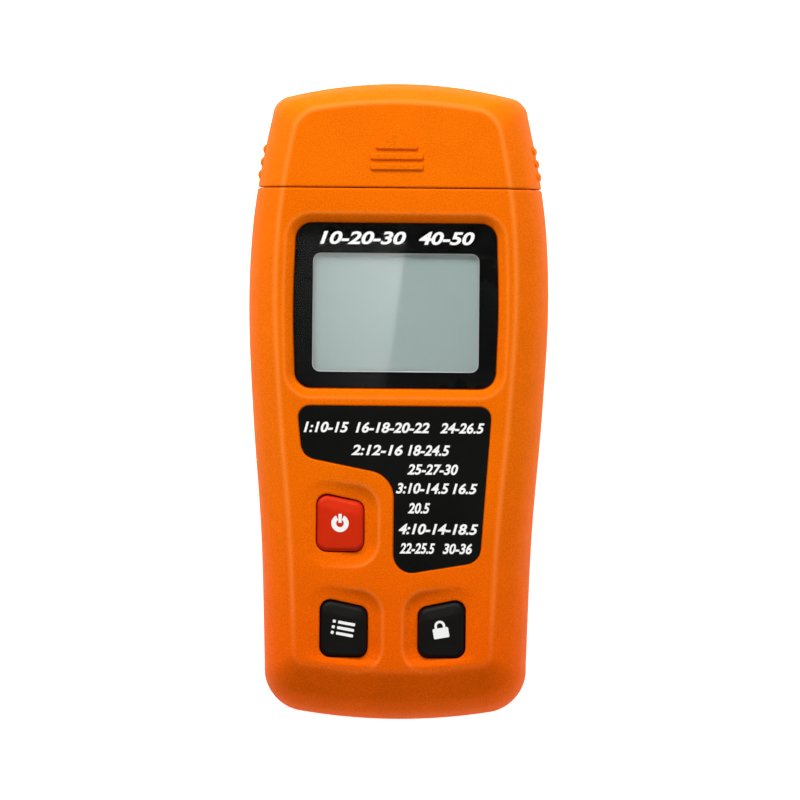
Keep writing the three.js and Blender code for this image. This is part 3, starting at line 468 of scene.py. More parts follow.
def surface(outer, height, loops, spacing):
    """A triangulated face inside an outline: edges along the loops, heights from a function."""
    points = [tuple(p) for p in outer]
    edges = []
    for loop in loops:
        clear = signed_distance(loop, outer) > LOOP_CLEAR
        first = len(points)
        points.extend(tuple(p) for p in loop)
        pairs = [(i, (i + 1) % len(loop)) for i in range(len(loop))]
        edges += [(first + i, first + j) for i, j in pairs if clear[i] and clear[j]]
    low = outer.min(0)
    high = outer.max(0)
    columns = np.arange(low[0], high[0], spacing)
    rows = np.arange(low[1], high[1], spacing)
    grid = np.array([(x + (spacing / 2 if k % 2 else 0), y) for k, y in enumerate(rows) for x in columns])
    room = signed_distance(grid, outer) > OUTLINE_MARGIN * spacing
    for loop in loops:
        room &= np.abs(signed_distance(grid, loop)) > LOOP_MARGIN * spacing
    points.extend(tuple(p) for p in grid[room])
    outer_face = list(range(len(outer)))
    verts, _, faces, *_ = delaunay_2d_cdt([Vector(p) for p in points], edges, [outer_face], 1, 1e-6)
    flat = np.array([tuple(v) for v in verts])
    triangles = np.array([tuple(f) for f in faces])
    return np.column_stack([flat, height(flat)]), triangles


def dress(obj, material, body, slot, *nodes, angle=32, weighted=True):
    """Finishes a piece: smooth shading, its material, its body and the CAD nodes it stands for."""
    obj.data.materials.clear()
    obj.data.materials.append(material)
    obj.data.shade_smooth()
    obj.data.set_sharp_from_angle(angle=math.radians(angle))
    if weighted:
        normals = obj.modifiers.new("normals", "WEIGHTED_NORMAL")
        normals.keep_sharp = True
    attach(obj, body)
    if nodes:
        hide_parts(*nodes)
    return obj


# ---------------------------------------------------------------- the case's form

def face_loops():
    """The loops that the face's creases and fillets follow."""
    loops = [bezel_outline(grow) for grow in (0.2, 0.3, 0.45, 0.7, 1.0, 1.4, 1.75, 2.0, 2.25, 2.6)]
    loops += [label_outline(grow) for grow in (0.1, 0.18, 0.28, 0.4)]
    falls = (-0.6, -0.3, 0.0, 0.3, 0.6, 1.0, 1.6, 2.3)
    for key in KEYS:
        loops += [key_outline(key, grow) for grow in (0.2, 0.3, 0.45, 0.9)]
        loops += [key_outline(key, DISH_MARGIN - fall) for fall in falls]
    return loops


def face_height(points):
    """Height of the front face: flat, with a dish round each key and soft edges at each opening."""
    z = np.full(len(points), DEPTH)
    edge = signed_distance(points, ring(1.0, EDGE_ROUND))
    for key in KEYS:
        inward = signed_distance(points, key_outline(key, DISH_MARGIN))
        across = (points[:, 0] - key["x"]) * -key["side"] / (KEY_WIDTH / 2 + DISH_MARGIN)
        depth = DISH_DEPTH * (0.55 + 0.45 * np.clip(across, -1, 1))
        past_rim = (inward + np.sqrt(inward**2 + DISH_RIM**2)) / 2 - DISH_LIP
        down_wall = np.clip(past_rim / DISH_WALL, 0, 1)
        z -= depth * (1 - (1 - down_wall)**2) * smooth(edge / DISH_FADE)
        outside_key = -signed_distance(points, key_outline(key, CLEAR))
        z -= np.where(outside_key > -1, round_drop(outside_key, KEY_ROOM_ROUND), 0)
    outside_bezel = -signed_distance(points, bezel_outline(CLEAR))
    z -= BEZEL_DROP * (1 - np.clip(outside_bezel / BEZEL_ROUND, 0, 1))**1.5
    outside_label = -signed_distance(points, label_outline(CLEAR / 2))
    z -= round_drop(outside_label, LABEL_ROUND)
    return z


def full_form():
    """The whole outer form of the meter with its worked face, closed."""
    plateau = ring(1.0)
    inner = ring(1.0, EDGE_ROUND)
    bevel = at_height(ring(1.0 - EDGE_RISE), DEPTH * (1 - EDGE_RISE))
    start = at_height(inner, DEPTH)
    corner = at_height(plateau, DEPTH)
    loops = [(1 - t)**2 * start + 2 * t * (1 - t) * corner + t * t * bevel for t in np.linspace(0, 1, 7)]
    rises = [*np.linspace(1 - EDGE_RISE, 0.54, 22)[1:], 0.5]
    part = PARTING_Z / DEPTH
    rises += [part + d / DEPTH for d in (0.8, 0.5, 0.3, 0.18, 0.1, 0, -0.1, -0.18, -0.3, -0.5, -0.8)]
    rises += [0.36, 0.3, 0.24, 0.19, 0.15, 0.12, 0.095, 0.07, 0.047, 0.03, 0.016, 0.006, 0]
    loops += [at_height(ring(rise), DEPTH * rise) for rise in rises]
    vertices = np.vstack(loops)
    faces = bands(len(loops), len(inner))
    faces.append(tuple(range(len(vertices) - len(inner), len(vertices))))
    top, triangles = surface(inner, face_height, face_loops(), 1.1)
    on_edge = np.abs(signed_distance(top[:, :2], inner)) < 1e-4
    top[on_edge, 2] = DEPTH
    faces += [tuple(face) for face in triangles + len(vertices)]
    form = make_mesh("form", np.vstack([vertices, top]), faces)
    soften_seams(form)
    return form


# How far below the face, and where towards the tail, the painted edge highlight reaches.
HIGHLIGHT_DEPTH = 2.5
HIGHLIGHT_FADE = (-52, -42)


def rub_edges(obj):
    """Marks a painted highlight on each point of a shell: strongest along the face's outer edge and fading
    towards the tail, with weaker bands round the key dishes and the bezel pocket.
    """
    points = np.array([tuple(v.co) for v in obj.data.vertices]) / MM
    highlight_share = np.zeros(len(points))
    face = np.flatnonzero(points[:, 2] > DEPTH - HIGHLIGHT_DEPTH)
    flat = points[face, :2]

    def beside(outline, width):
        return np.clip(1 - np.abs(signed_distance(flat, outline)) / width, 0, 1)

    highlight_bands = [beside(ring(1.0, 0.35), 0.75) * np.interp(flat[:, 1], HIGHLIGHT_FADE, (0.35, 1))]
    for key in KEYS:
        inner_side = np.clip(0.5 - (flat[:, 0] - key["x"]) * key["side"] / KEY_WIDTH, 0, 1)
        highlight_bands.append(0.75 * inner_side * beside(key_outline(key, DISH_MARGIN), 0.55))
    highlight_bands.append(0.55 * beside(bezel_outline(BEZEL_ROUND), 0.5))
    highlight_share[face] = np.max(highlight_bands, axis=0)
    attribute = obj.data.attributes.new("edge", "FLOAT", "POINT")
    attribute.data.foreach_set("value", highlight_share.astype(np.float32))
    return obj


def soften_seams(form):
    """Rounds the edges either side of the cap's seam and of the case's parting line."""
    bm = bmesh.new()
    bm.from_mesh(form.data)
    nearby = (0.03, 0.1, 0.2, SEAM_ROUND, 0.6)
    for offset in (*(-step for step in reversed(nearby)), 0.0, *nearby):
        place = SEAM_Y + offset + (SEAM_GAP if offset > 0 else 0)
        bmesh.ops.bisect_plane(bm, geom=[*bm.verts, *bm.edges, *bm.faces], dist=1e-7,
                               plane_co=(0, place * MM, 0), plane_no=(0, 1, 0))
    bm.normal_update()
    gap = SEAM_GAP / 2
    for vertex in bm.verts:
        _, y, z = (value / MM for value in vertex.co)
        off_seam = abs(y - SEAM_Y - gap) - gap
        drop = round_drop(max(off_seam, 0), SEAM_ROUND)
        if y < SEAM_Y and z < DEPTH - 2:
            off_parting = abs(z - PARTING_Z) - gap
            drop = max(drop, round_drop(max(off_parting, 0), PARTING_ROUND))
        if drop > 1e-6 and z > 0.01:
            vertex.co -= vertex.normal * float(drop) * MM
    bm.to_mesh(form.data)
    bm.free()


def plain_form(inset, front_inset, fine=0.4):
    """The case's form drawn inwards by a wall, closed and plain."""
    rises = [0, 0.02, 0.047, 0.09, 0.15, 0.25, 0.36, 0.54, 0.63, 0.72, 0.79, 0.86, 0.93, 1]
    height = DEPTH - inset - front_inset
    return loft("hollow", [at_height(ring(rise, inset, fine), inset + rise * height) for rise in rises])


def closed_case(form):
    body = keep(copy_of(form, "case"), slab(high_y=SEAM_Y))
    neck = keep(plain_form(NECK_INSET, NECK_INSET, 0.7), slab(high_y=NECK_Y))
    return join(body, neck)


def case_hollow():
    body = keep(plain_form(WALL, FRONT_WALL), slab(high_y=SEAM_Y - WALL))
    inset = NECK_INSET + NECK_WALL
    return join(body, keep(plain_form(inset, inset), slab(high_y=NECK_Y - NECK_WALL)))


def nose_room():
    """The hole in the neck for the pin block's nose."""
    step = NOSE_STEP - CLEAR
    low = (BLOCK_LOW[0] + step, NECK_Y - 3, BLOCK_LOW[2] + step)
    high = (BLOCK_HIGH[0] - step, NECK_Y + 2, BLOCK_HIGH[2] - step)
    return block("nose_room", low, high)


def front_shell(form):
    shell = keep(closed_case(form), slab(low_z=PARTING_Z + SEAM_GAP / 2))
    cut(shell, case_hollow(), nose_room())
    through = DEPTH - FRONT_WALL - 1
    rooms = [(key_outline(key, CLEAR - HAIR, 0.3), through) for key in KEYS]
    rooms += [(bezel_outline(CLEAR - HAIR), MASK_LOW[2]), (window_outline(0.5), through),
              (label_outline(CLEAR / 2 - HAIR), LABEL_LOW[2])]
    for outline, low in rooms:
        cut(shell, prism("room", outline, low, DEPTH + 1))
    # The front shell carries the painted edge highlight in its "edge" attribute.
    return rub_edges(shell)


# ---- what the rear shell holds ----
TUB_HALF = 14.85
BAY_HALF = 13.65
TUB_TOP_Z = REAR_HIGH[2]
BAY_WALL = 1.2
BAY_LOW_Y = BATTERY_LOW[1] - CLEAR
BAY_HIGH_Y = DOOR_HIGH[1] - 1.35
RAIL_HALF = 16.4
RAIL_HEIGHT = 4.5
DOOR_TOP_Z = DOOR_HIGH[2]
DOOR_TONGUE = 0.7
DOOR_HALF = DOOR_HIGH[0] - DOOR_TONGUE
DOOR_END_Y = DOOR_HIGH[1] - DOOR_TONGUE
TONGUE_Z = DOOR_TOP_Z - 1.0
# Half of a grip groove's section: how far from its middle line, and how high into the door.
GROOVE = [(0.75, -0.3), (0.5, 0.35), (0.2, 0.55)]
GROOVE_HALF_LENGTH = 7.0
GROOVE_FIRST = 6.0
GROOVE_PITCH = 2.4
BOSS_WALL = 1.2
BOSS_RADIUS = 2.6
SCREW_HOLE_RADIUS = 1.35
SCREW_HEAD_HEIGHT = 1.7


def door_blocks(grow):
    half = DOOR_HALF + grow
    plate = block("plate", (-half, -200, -1), (half, DOOR_END_Y + grow, DOOR_TOP_Z + grow))
    tongue = block("tongue", (-half - DOOR_TONGUE, -200, TONGUE_Z - grow),
                   (half + DOOR_TONGUE, DOOR_END_Y + DOOR_TONGUE + grow, DOOR_TOP_Z + grow))
    return join(plate, tongue)


CASE_SCREWS = [f"case_screw_{number}" for number in range(1, 5)]


def screw_place(node):
    low, high = node_box(node)
    return (low[0] + high[0]) / 2, (low[1] + high[1]) / 2, low[2], (high[0] - low[0]) / 2


def cylinder(name, x, y, radius, low, high):
    return prism(name, circle(radius) + (x, y), low, high)


def rear_shell(form):
    shell = keep(closed_case(form), slab(high_z=PARTING_Z - SEAM_GAP / 2))
    cut(shell, case_hollow())
    rails = block("rails", (-RAIL_HALF, TAIL_Y, 0), (RAIL_HALF, BAY_HIGH_Y + 2 * BAY_WALL, RAIL_HEIGHT))
    tub = block("tub", (-TUB_HALF, BAY_LOW_Y - BAY_WALL, 0.5), (TUB_HALF, BAY_HIGH_Y + BAY_WALL, TUB_TOP_Z))
    join(shell, keep(rails, copy_of(form, "limit")), tub)
    for node in CASE_SCREWS:
        x, y, head_z, head_radius = screw_place(node)
        join(shell, cylinder("boss", x, y, head_radius + BOSS_WALL, 0.5, head_z + 3.3))
        join(shell, cylinder("boss", x, y, BOSS_RADIUS, 1, PARTING_Z - SEAM_GAP / 2))
        cut(shell, cylinder("room", x, y, head_radius + CLEAR, -1, head_z + SCREW_HEAD_HEIGHT))
        cut(shell, cylinder("room", x, y, SCREW_HOLE_RADIUS, 0, PARTING_Z + 1))
    cut(shell, block("bay", (-BAY_HALF, BAY_LOW_Y, 0.5), (BAY_HALF, BAY_HIGH_Y, TUB_TOP_Z - BAY_WALL)))
    cut(shell, block("notch", (-7, BAY_HIGH_Y - 1, 9), (7, BAY_HIGH_Y + 3 * BAY_WALL, 15)))
    return cut(shell, door_blocks(CLEAR / 2), nose_room())


def door_panel(form):
    door = keep(door_blocks(0), copy_of(form, "limit"))
    for index in range(4):
        y = DOOR_END_Y - GROOVE_FIRST - GROOVE_PITCH * index
        section = [(y - off, z) for off, z in GROOVE] + [(y + off, z) for off, z in reversed(GROOVE)]
        ends = (-GROOVE_HALF_LENGTH, GROOVE_HALF_LENGTH)
        cut(door, loft("groove", [np.array([(x, *point) for point in section]) for x in ends]))
    return door


# ---- the cap's grip ribs and raised mark, measured from its tip ----
RIB_FIRST = 13.7
RIB_PITCH = 2.6
RIB_RADIUS = 1.25
RIB_SINK = 0.9
RIB_LOW_Z = 7.5
RIB_HIGH_Z = 19.8
MARK_TIP = 8.4
MARK_TALL = 5.1
MARK_HALF = 4.7
MARK_RADIUS = 0.35
BAR_HALF = 5.35
BAR_TALL = 1.15
BAR_GAP = 0.95
BAR_PITCH = 2.1
BAR_RADIUS = 0.3
# The raised mark's rounded side: how far out, and how high over the face.
MARK_SIDE = [(0.12, -0.6), (0.1, 0.0), (0.05, 0.25), (-0.03, 0.38), (-0.16, 0.45)]


def cap_shell(form):
    cap = keep(copy_of(form, "cap"), slab(low_y=CAP_LOW[1]))
    cut(cap, keep(plain_form(CAP_WALL, CAP_WALL, 0.7), slab(low_y=SEAM_Y - 1)))
    for index in range(3):
        y = TOP_Y - RIB_FIRST - RIB_PITCH * index
        for side in (-1, 1):
            rib = lathe("rib", capsule(RIB_RADIUS, RIB_LOW_Z, RIB_HIGH_Z), 32)
            move(rib, side * (half_width(y) - RIB_SINK), y, 0)
            join(cap, rib)
    # The cap carries the painted edge highlight in its "edge" attribute.
    return rub_edges(join(cap, *cap_arrow()))


def capsule(radius, low, high):
    """The profile of a post with two round ends."""
    turn = np.linspace(0, math.pi / 2, 9)
    foot = [(radius * math.sin(a), low + radius - radius * math.cos(a)) for a in turn]
    head = [(radius * math.cos(a), high - radius + radius * math.sin(a)) for a in turn]
    return foot + head


def cap_arrow():
    """The raised pull-off mark: a triangle over two bars."""
    tip = TOP_Y - MARK_TIP
    base = tip - MARK_TALL
    shapes = [([(-MARK_HALF, base, -1, -1), (MARK_HALF, base, 1, -1), (0, tip, 0, 1)], MARK_RADIUS)]
    for index in range(2):
        top = base - BAR_GAP - index * BAR_PITCH
        low = top - BAR_TALL
        shapes.append(([(-BAR_HALF, low, -1, -1), (BAR_HALF, low, 1, -1), (BAR_HALF, top, 1, 1),
                        (-BAR_HALF, top, -1, 1)], BAR_RADIUS))
    raised = []
    for corners, radius in shapes:
        loops = []
        for grow, rise in MARK_SIDE:
            outline = rounded([(x + grow * u, y + grow * v, radius) for x, y, u, v in corners], 0.3)
            loops.append(at_height(resample(outline, 96), DEPTH + rise))
        raised.append(loft("mark", loops))
    return raised


def resample(outline, count):
    """The same closed outline with a set number of points, starting at its first."""
    closed = np.vstack([outline, outline[:1]])
    along = np.concatenate([[0], np.cumsum(np.linalg.norm(np.diff(closed, axis=0), axis=1))])
    at = np.linspace(0, along[-1], count, endpoint=False)
    return np.stack([np.interp(at, along, closed[:, axis]) for axis in (0, 1)], 1)


# ---------------------------------------------------------------- materials

# Where the painted shade towards the case's tail fades in, in metres along Y.
TAIL_SHADE_FADE = (-0.012, -0.050)
TRACK_PITCH = 3.2
# Sockets of a colour Mix node.
MIX_FACTOR, MIX_FIRST, MIX_SECOND, MIX_RESULT = 0, 6, 7, 2


def new_material(name, color, roughness, **sockets):
    """A new material, with what a pattern is wired to: its tree, its shader and a place on the piece."""
    material = bpy.data.materials.new(name)
    material.use_nodes = True
    tree = material.node_tree
    shader = tree.nodes["Principled BSDF"]
    shader.inputs["Base Color"].default_value = (*color, 1)
    shader.inputs["Roughness"].default_value = roughness
    for socket, value in sockets.items():
        shader.inputs[socket.replace("_", " ")].default_value = value
    return material, tree, shader, tree.nodes.new("ShaderNodeTexCoord").outputs["Object"]


def wire(tree, shader, **sockets):
    """Links each named socket of the shader to an output."""
    for socket, output in sockets.items():
        tree.links.new(output, shader.inputs[socket.replace("_", " ")])


def math_node(tree, operation, *values):
    """A Math node; each value is a number or another node's output."""
    node = tree.nodes.new("ShaderNodeMath")
    node.operation = operation
    for socket, value in zip(node.inputs, values):
        if isinstance(value, (int, float)):
            socket.default_value = value
        else:
            tree.links.new(value, socket)
    return node.outputs[0]


def axis_of(tree, vector, axis):
    split = tree.nodes.new("ShaderNodeSeparateXYZ")
    tree.links.new(vector, split.inputs[0])
    return split.outputs[axis]


def noise(tree, vector, size_mm, detail=2.0, roughness=0.5, stretch=None):
    """Noise whose lumps are about size_mm across; its output runs from 0 to 1."""
    if stretch:
        mapping = tree.nodes.new("ShaderNodeMapping")
        mapping.inputs["Scale"].default_value = stretch
        tree.links.new(vector, mapping.inputs["Vector"])
        vector = mapping.outputs["Vector"]
    node = tree.nodes.new("ShaderNodeTexNoise")
    node.inputs["Scale"].default_value = 1 / (size_mm * MM)
    node.inputs["Detail"].default_value = detail
    node.inputs["Roughness"].default_value = roughness
    tree.links.new(vector, node.inputs["Vector"])
    return node.outputs["Fac"]


def remap(tree, value, low, high, to_low, to_high):
    node = tree.nodes.new("ShaderNodeMapRange")
    for socket, number in zip(("From Min", "From Max", "To Min", "To Max"), (low, high, to_low, to_high)):
        node.inputs[socket].default_value = number
    tree.links.new(value, node.inputs["Value"])
    return node.outputs["Result"]


def mix(tree, factor, first, second, blend="MIX"):
    """Mixes two colours; the first may be another node's output."""
    node = tree.nodes.new("ShaderNodeMix")
    node.data_type = "RGBA"
    node.blend_type = blend
    if isinstance(first, tuple):
        node.inputs[MIX_FIRST].default_value = (*first, 1)
    else:
        tree.links.new(first, node.inputs[MIX_FIRST])
    node.inputs[MIX_SECOND].default_value = (*second, 1)
    tree.links.new(factor, node.inputs[MIX_FACTOR])
    return node.outputs[MIX_RESULT]


def bumps(tree, layers):
    """Adds bump layers, each (height output, depth in mm), one through the next."""
    normal = None
    for height, depth in layers:
        node = tree.nodes.new("ShaderNodeBump")
        node.inputs["Strength"].default_value = 1.0
        node.inputs["Distance"].default_value = depth * MM
        tree.links.new(height, node.inputs["Height"])
        if normal:
            tree.links.new(normal, node.inputs["Normal"])
        normal = node.outputs["Normal"]
    return normal


def scaled(color, factor):
    return tuple(min(c * factor, 1) for c in color)


def moulded(name, color, roughness=0.45, grain=0.3, depth=0.012, shade=0.12, warp=True, tail=None,
            rubbed_edge=None, **sockets):
    """Spark-eroded moulded plastic: fine grain, faint mottling and a little polish where it is handled, with
    an optional painted highlight along marked edges and an optional painted shade towards the tail.
    """
    material, tree, shader, spot = new_material(name, color, roughness, **sockets)
    fine = noise(tree, spot, grain, 3.0, 0.6)
    mottle = remap(tree, noise(tree, spot, 9.0, 4.0, 0.6), 0.3, 0.7, 0.0, 0.25)
    uneven = math_node(tree, "MULTIPLY_ADD", remap(tree, fine, 0.38, 0.62, 0, 1), 0.75, mottle)
    shown = mix(tree, uneven, scaled(color, 1 - shade), scaled(color, 1 + shade * 0.7))
    # Painted highlight: lightens the colour along the edges marked in the "edge" attribute; the specular
    # rise there is real gloss.
    if rubbed_edge:
        mark = tree.nodes.new("ShaderNodeAttribute")
        mark.attribute_name = "edge"
        highlight_share = mark.outputs["Fac"]
        shown = mix(tree, remap(tree, highlight_share, 0, 1, 0, 0.65), shown, rubbed_edge)
        sheen = remap(tree, highlight_share, 0, 1, sockets["Specular_IOR_Level"], 0.2)
        wire(tree, shader, Specular_IOR_Level=sheen)
    # Painted shade: multiplies the colour darker and redder towards the tail, standing for the light falling
    # off there.
    if tail:
        tail_shade_share = remap(tree, axis_of(tree, spot, "Y"), *TAIL_SHADE_FADE, 0, 1)
        shown = mix(tree, tail_shade_share, shown, tail, "MULTIPLY")
    handled = noise(tree, spot, 22.0, 5.0, 0.65)
    layers = [(fine, depth), (noise(tree, spot, grain * 0.45, 2.0), depth * 0.5)]
    if warp:
        layers.append((noise(tree, spot, 14.0, 1.0), 0.02))
    wire(tree, shader, Base_Color=shown, Normal=bumps(tree, layers),
         Roughness=remap(tree, handled, 0.35, 0.7, roughness + 0.05, roughness - 0.07))
    return material


def metal(name, color, roughness, lines=(1, 1, 30)):
    """Turned or drawn metal with fine marks along one way and faint tarnish."""
    material, tree, shader, spot = new_material(name, color, roughness, Metallic=1.0)
    tarnish = remap(tree, noise(tree, spot, 2.5, 5.0, 0.6), 0.4, 0.75, 0, 1)
    marks = noise(tree, spot, 1.2, 3.0, 0.6, stretch=lines)
    wire(tree, shader, Base_Color=mix(tree, tarnish, color, scaled(color, 0.72)),
         Roughness=remap(tree, marks, 0.3, 0.7, roughness * 0.8, roughness * 1.35),
         Normal=bumps(tree, [(marks, 0.006)]))
    return material


def printed(name, color):
    """Slightly worn screen-printed ink."""
    material, tree, shader, spot = new_material(name, color, 0.5)
    wear = noise(tree, spot, 0.35, 4.0, 0.7)
    faded = mix(tree, remap(tree, wear, 0.5, 0.8, 0, 1), color, scaled(color, 0.82))
    wire(tree, shader, Base_Color=faded, Normal=bumps(tree, [(wear, 0.003)]))
    return material


def board_material():
    """Solder mask with tracks showing as a faint raised pattern."""
    material, tree, shader, spot = new_material("board", (0.01, 0.12, 0.045), 0.35)
    cells = tree.nodes.new("ShaderNodeTexVoronoi")
    cells.distance = "MANHATTAN"
    cells.feature = "DISTANCE_TO_EDGE"
    cells.inputs["Scale"].default_value = 1 / (TRACK_PITCH * MM)
    tree.links.new(spot, cells.inputs["Vector"])
    track = remap(tree, cells.outputs["Distance"], 0.04, 0.09, 1, 0)
    wire(tree, shader, Base_Color=mix(tree, track, (0.008, 0.10, 0.035), (0.02, 0.22, 0.08)),
         Normal=bumps(tree, [(track, 0.035), (noise(tree, spot, 0.5), 0.01)]))
    return material


def lcd_material():
    """An unlit reflective display: grey-green with the faintest mottling under its polariser."""
    material, tree, shader, spot = new_material("lcd", (0.36, 0.46, 0.44), 0.35, Coat_Weight=1.0,
                                                Coat_Roughness=0.02, Coat_IOR=1.55)
    cloud = noise(tree, spot, 11.0, 3.0, 0.5)
    wire(tree, shader, Base_Color=mix(tree, cloud, (0.375, 0.475, 0.455), (0.395, 0.495, 0.475)),
         Normal=bumps(tree, [(noise(tree, spot, 0.25), 0.002)]))
    return material


def lens_material():
    """Clear acrylic window, glossy with faint handling haze."""
    material, tree, shader, spot = new_material("lens", (1, 1, 1), 0.02, Transmission_Weight=1.0, IOR=1.12)
    haze = noise(tree, spot, 6.0, 5.0, 0.65)
    wire(tree, shader, Roughness=remap(tree, haze, 0.4, 0.8, 0.015, 0.05))
    return material


ORANGE = (0.84, 0.146, 0.0008)
CAP_ORANGE = (0.86, 0.155, 0.0012)
WARM_SHEEN = (1.0, 0.72, 0.3, 1.0)
# Colour of the painted edge highlight.
EDGE_HIGHLIGHT_COLOUR = (1.0, 0.26, 0.035)
CASE_LOOK = {
    "roughness": 0.58, "grain": 0.30, "depth": 0.06, "shade": 0.17, "Specular_IOR_Level": 0.02,
    "Specular_Tint": WARM_SHEEN, "rubbed_edge": EDGE_HIGHLIGHT_COLOUR,
}
FILM_LOOK = {"grain": 0.12, "shade": 0.2, "warp": False}
MATERIALS = {
    # The case's colour carries a painted shade towards its tail.
    "case": moulded("case_plastic", ORANGE, tail=(0.98, 0.74, 0.7), **CASE_LOOK),
    "cap": moulded("cap_plastic", CAP_ORANGE, **CASE_LOOK),
    "red": moulded("red_rubber", (0.60, 0.020, 0.0030), 0.45, grain=0.18, depth=0.006,
                   Specular_IOR_Level=0.15, Specular_Tint=WARM_SHEEN),
    "black": moulded("black_rubber", (0.0040, 0.0038, 0.0030), 0.50, grain=0.18, depth=0.006, shade=0.2,
                     Specular_IOR_Level=0.1),
    "label": moulded("label_film", (0.004, 0.004, 0.0036), 0.32, depth=0.002, Specular_IOR_Level=0.12,
                     **FILM_LOOK),
    "mask": moulded("mask_film", (0.0045, 0.0048, 0.0045), 0.3, depth=0.001, Specular_IOR_Level=0.1,
                    **FILM_LOOK),
    # Light grey on the cut walls of the display window: a painted highlight line round the window.
    "rim": moulded("window_rim_painted_highlight", (0.55, 0.57, 0.56), 0.4, grain=0.15, depth=0.002),
    "ink": printed("white_ink", (0.90, 0.90, 0.88)),
    "lens": lens_material(),
    "lcd": lcd_material(),
    "white": moulded("white_plastic", (0.72, 0.72, 0.68), 0.5, grain=0.2),
    "elastomer": moulded("elastomer_strip", (0.03, 0.03, 0.033), 0.75, grain=0.15, shade=0.3),
    "inner": moulded("inner_plastic", (0.012, 0.012, 0.012), 0.5, grain=0.2, shade=0.25),
    "chip": moulded("chip_epoxy", (0.012, 0.012, 0.013), 0.65, grain=0.12, shade=0.2),
    "board": board_material(),
    "sleeve": moulded("capacitor_sleeve", (0.012, 0.02, 0.12), 0.25, depth=0.003),
    "tin": metal("tin", (0.60, 0.60, 0.59), 0.28),
    "steel": metal("steel", (0.62, 0.62, 0.63), 0.2),
    "zinc": metal("zinc", (0.50, 0.50, 0.51), 0.3),
    "brass": metal("brass", (0.66, 0.44, 0.15), 0.28),
    "lead_white": moulded("white_wire", (0.66, 0.66, 0.63), grain=0.2),
    "lead_red": moulded("red_wire", (0.50, 0.015, 0.01), grain=0.2),
    "lead_black": moulded("black_wire", (0.012, 0.012, 0.012), grain=0.2),
    "battery": moulded("battery_wrap", (0.025, 0.035, 0.07), 0.3, grain=0.4, depth=0.003, shade=0.25),
    "battery_band": metal("battery_band", (0.70, 0.48, 0.16), 0.3, lines=(1, 30, 1)),
}


# ---------------------------------------------------------------- pieces

def case_pieces():
    form = full_form()
    for name, node, build, look, body in (
        ("front_case_skin", "front_case", front_shell, "case", "housing"),
        ("rear_case_skin", "rear_case", rear_shell, "case", "housing"),
        ("cap_skin", "protective_cap", cap_shell, "cap", "cap"),
        ("door_skin", "battery_door", door_panel, "case", "door"),
    ):
        dress(build(form), MATERIALS[look], body, f"{look}_orange", node).name = name
    bpy.data.objects.remove(form)


KEY_POINTS = 220
KEY_CROWN = 0.18
KEY_CROWN_REACH = 4.0
KEY_ROUND = 1.0
KEY_FACET_TALL = 2.9
KEY_FACET_SLOPE = 0.20
KEY_CREASE_SOFT = 0.35


def key_piece(key, material, slot, body):
    """Makes a soft-edged key with a sloped upper facet and a flange, and returns its top's height."""
    top = key["top"]
    rim, inner, flange = (resample(key_outline(key, grow, 0.25), KEY_POINTS)
                          for grow in (0.0, -0.03, KEY_FLANGE - HAIR))
    crease_y = key["low"] + KEY_HEIGHT - KEY_SLANT / 2 - KEY_FACET_TALL
    tilt = -key["side"] * KEY_SLANT / KEY_WIDTH

    def height(points):
        inward = signed_distance(points, rim)
        crown = KEY_CROWN * (smooth(inward / KEY_CROWN_REACH) - 1)
        ahead = points[:, 1] - crease_y + tilt * (points[:, 0] - key["x"])
        turning = (ahead + KEY_CREASE_SOFT)**2 / (4 * KEY_CREASE_SOFT)
        run = np.where(ahead > KEY_CREASE_SOFT, ahead, np.where(ahead > -KEY_CREASE_SOFT, turning, 0))
        return top + crown - round_drop(inward, KEY_ROUND) - KEY_FACET_SLOPE * run

    loops = [key_outline(key, -grow, 0.3) for grow in (0.1, 0.2, 0.35, 0.55, 0.8, 1.05)]
    verts, triangles = surface(inner, height, loops, 0.32)
    edge_height = height(inner)
    shelf = key["base"] + KEY_FLANGE
    skirt = [at_height(flange, key["base"]), at_height(flange, shelf), at_height(rim, shelf),
             at_height(rim, top - 1.6), np.column_stack([rim, edge_height - 0.12]),
             np.column_stack([inner, edge_height])]
    vertices = np.vstack(skirt)
    faces = [tuple(range(KEY_POINTS)), *bands(len(skirt), KEY_POINTS)]
    faces += [tuple(face) for face in triangles + len(vertices)]
    piece = make_mesh(f"{key['node']}_skin", np.vstack([vertices, verts]), faces)
    dress(piece, material, body, slot, key["node"], angle=50)
    return height


def flat_mark(name, outlines, height, body, slot):
    """Ink printed on a surface: thin closed pads that follow its height."""
    vertices = []
    faces = []
    for outline in outlines:
        top, triangles = surface(outline, lambda points: height(points) + HAIR, [], 0.3)
        first = len(vertices)
        count = len(top)
        vertices.extend(top)
        vertices.extend(top - (0, 0, INK_THICKNESS))
        faces.extend(tuple(face) for face in triangles + first)
        faces.extend(tuple(face[::-1]) for face in triangles + first + count)
        rim = [first + int(np.argmin(((top[:, :2] - point)**2).sum(1))) for point in outline]
        faces += [(i, j, j + count, i + count) for i, j in zip(rim, rim[1:] + rim[:1])]
    dress(make_mesh(name, vertices, faces), MATERIALS["ink"], body, slot, weighted=False)


INK_THICKNESS = 0.08
NUMERAL_THICKNESS = 0.05
HEADER_NUMERAL_HEIGHT = 2.7
LABEL_NUMERAL_HEIGHT = 2.2


def turned(points, angle, centre):
    c, s = math.cos(angle), math.sin(angle)
    return np.asarray(points) @ np.array([(c, s), (-s, c)]) + centre


def bar(x0, y0, x1, y1, radius=0.12):
    return rectangle(x0, y0, x1, y1, radius, 0.2)


def arc_band(inner, outer, start, end):
    angles = np.linspace(start, end, 40)
    arc = np.stack([np.cos(angles), np.sin(angles)], 1)
    return np.vstack([outer * arc, inner * arc[::-1]])


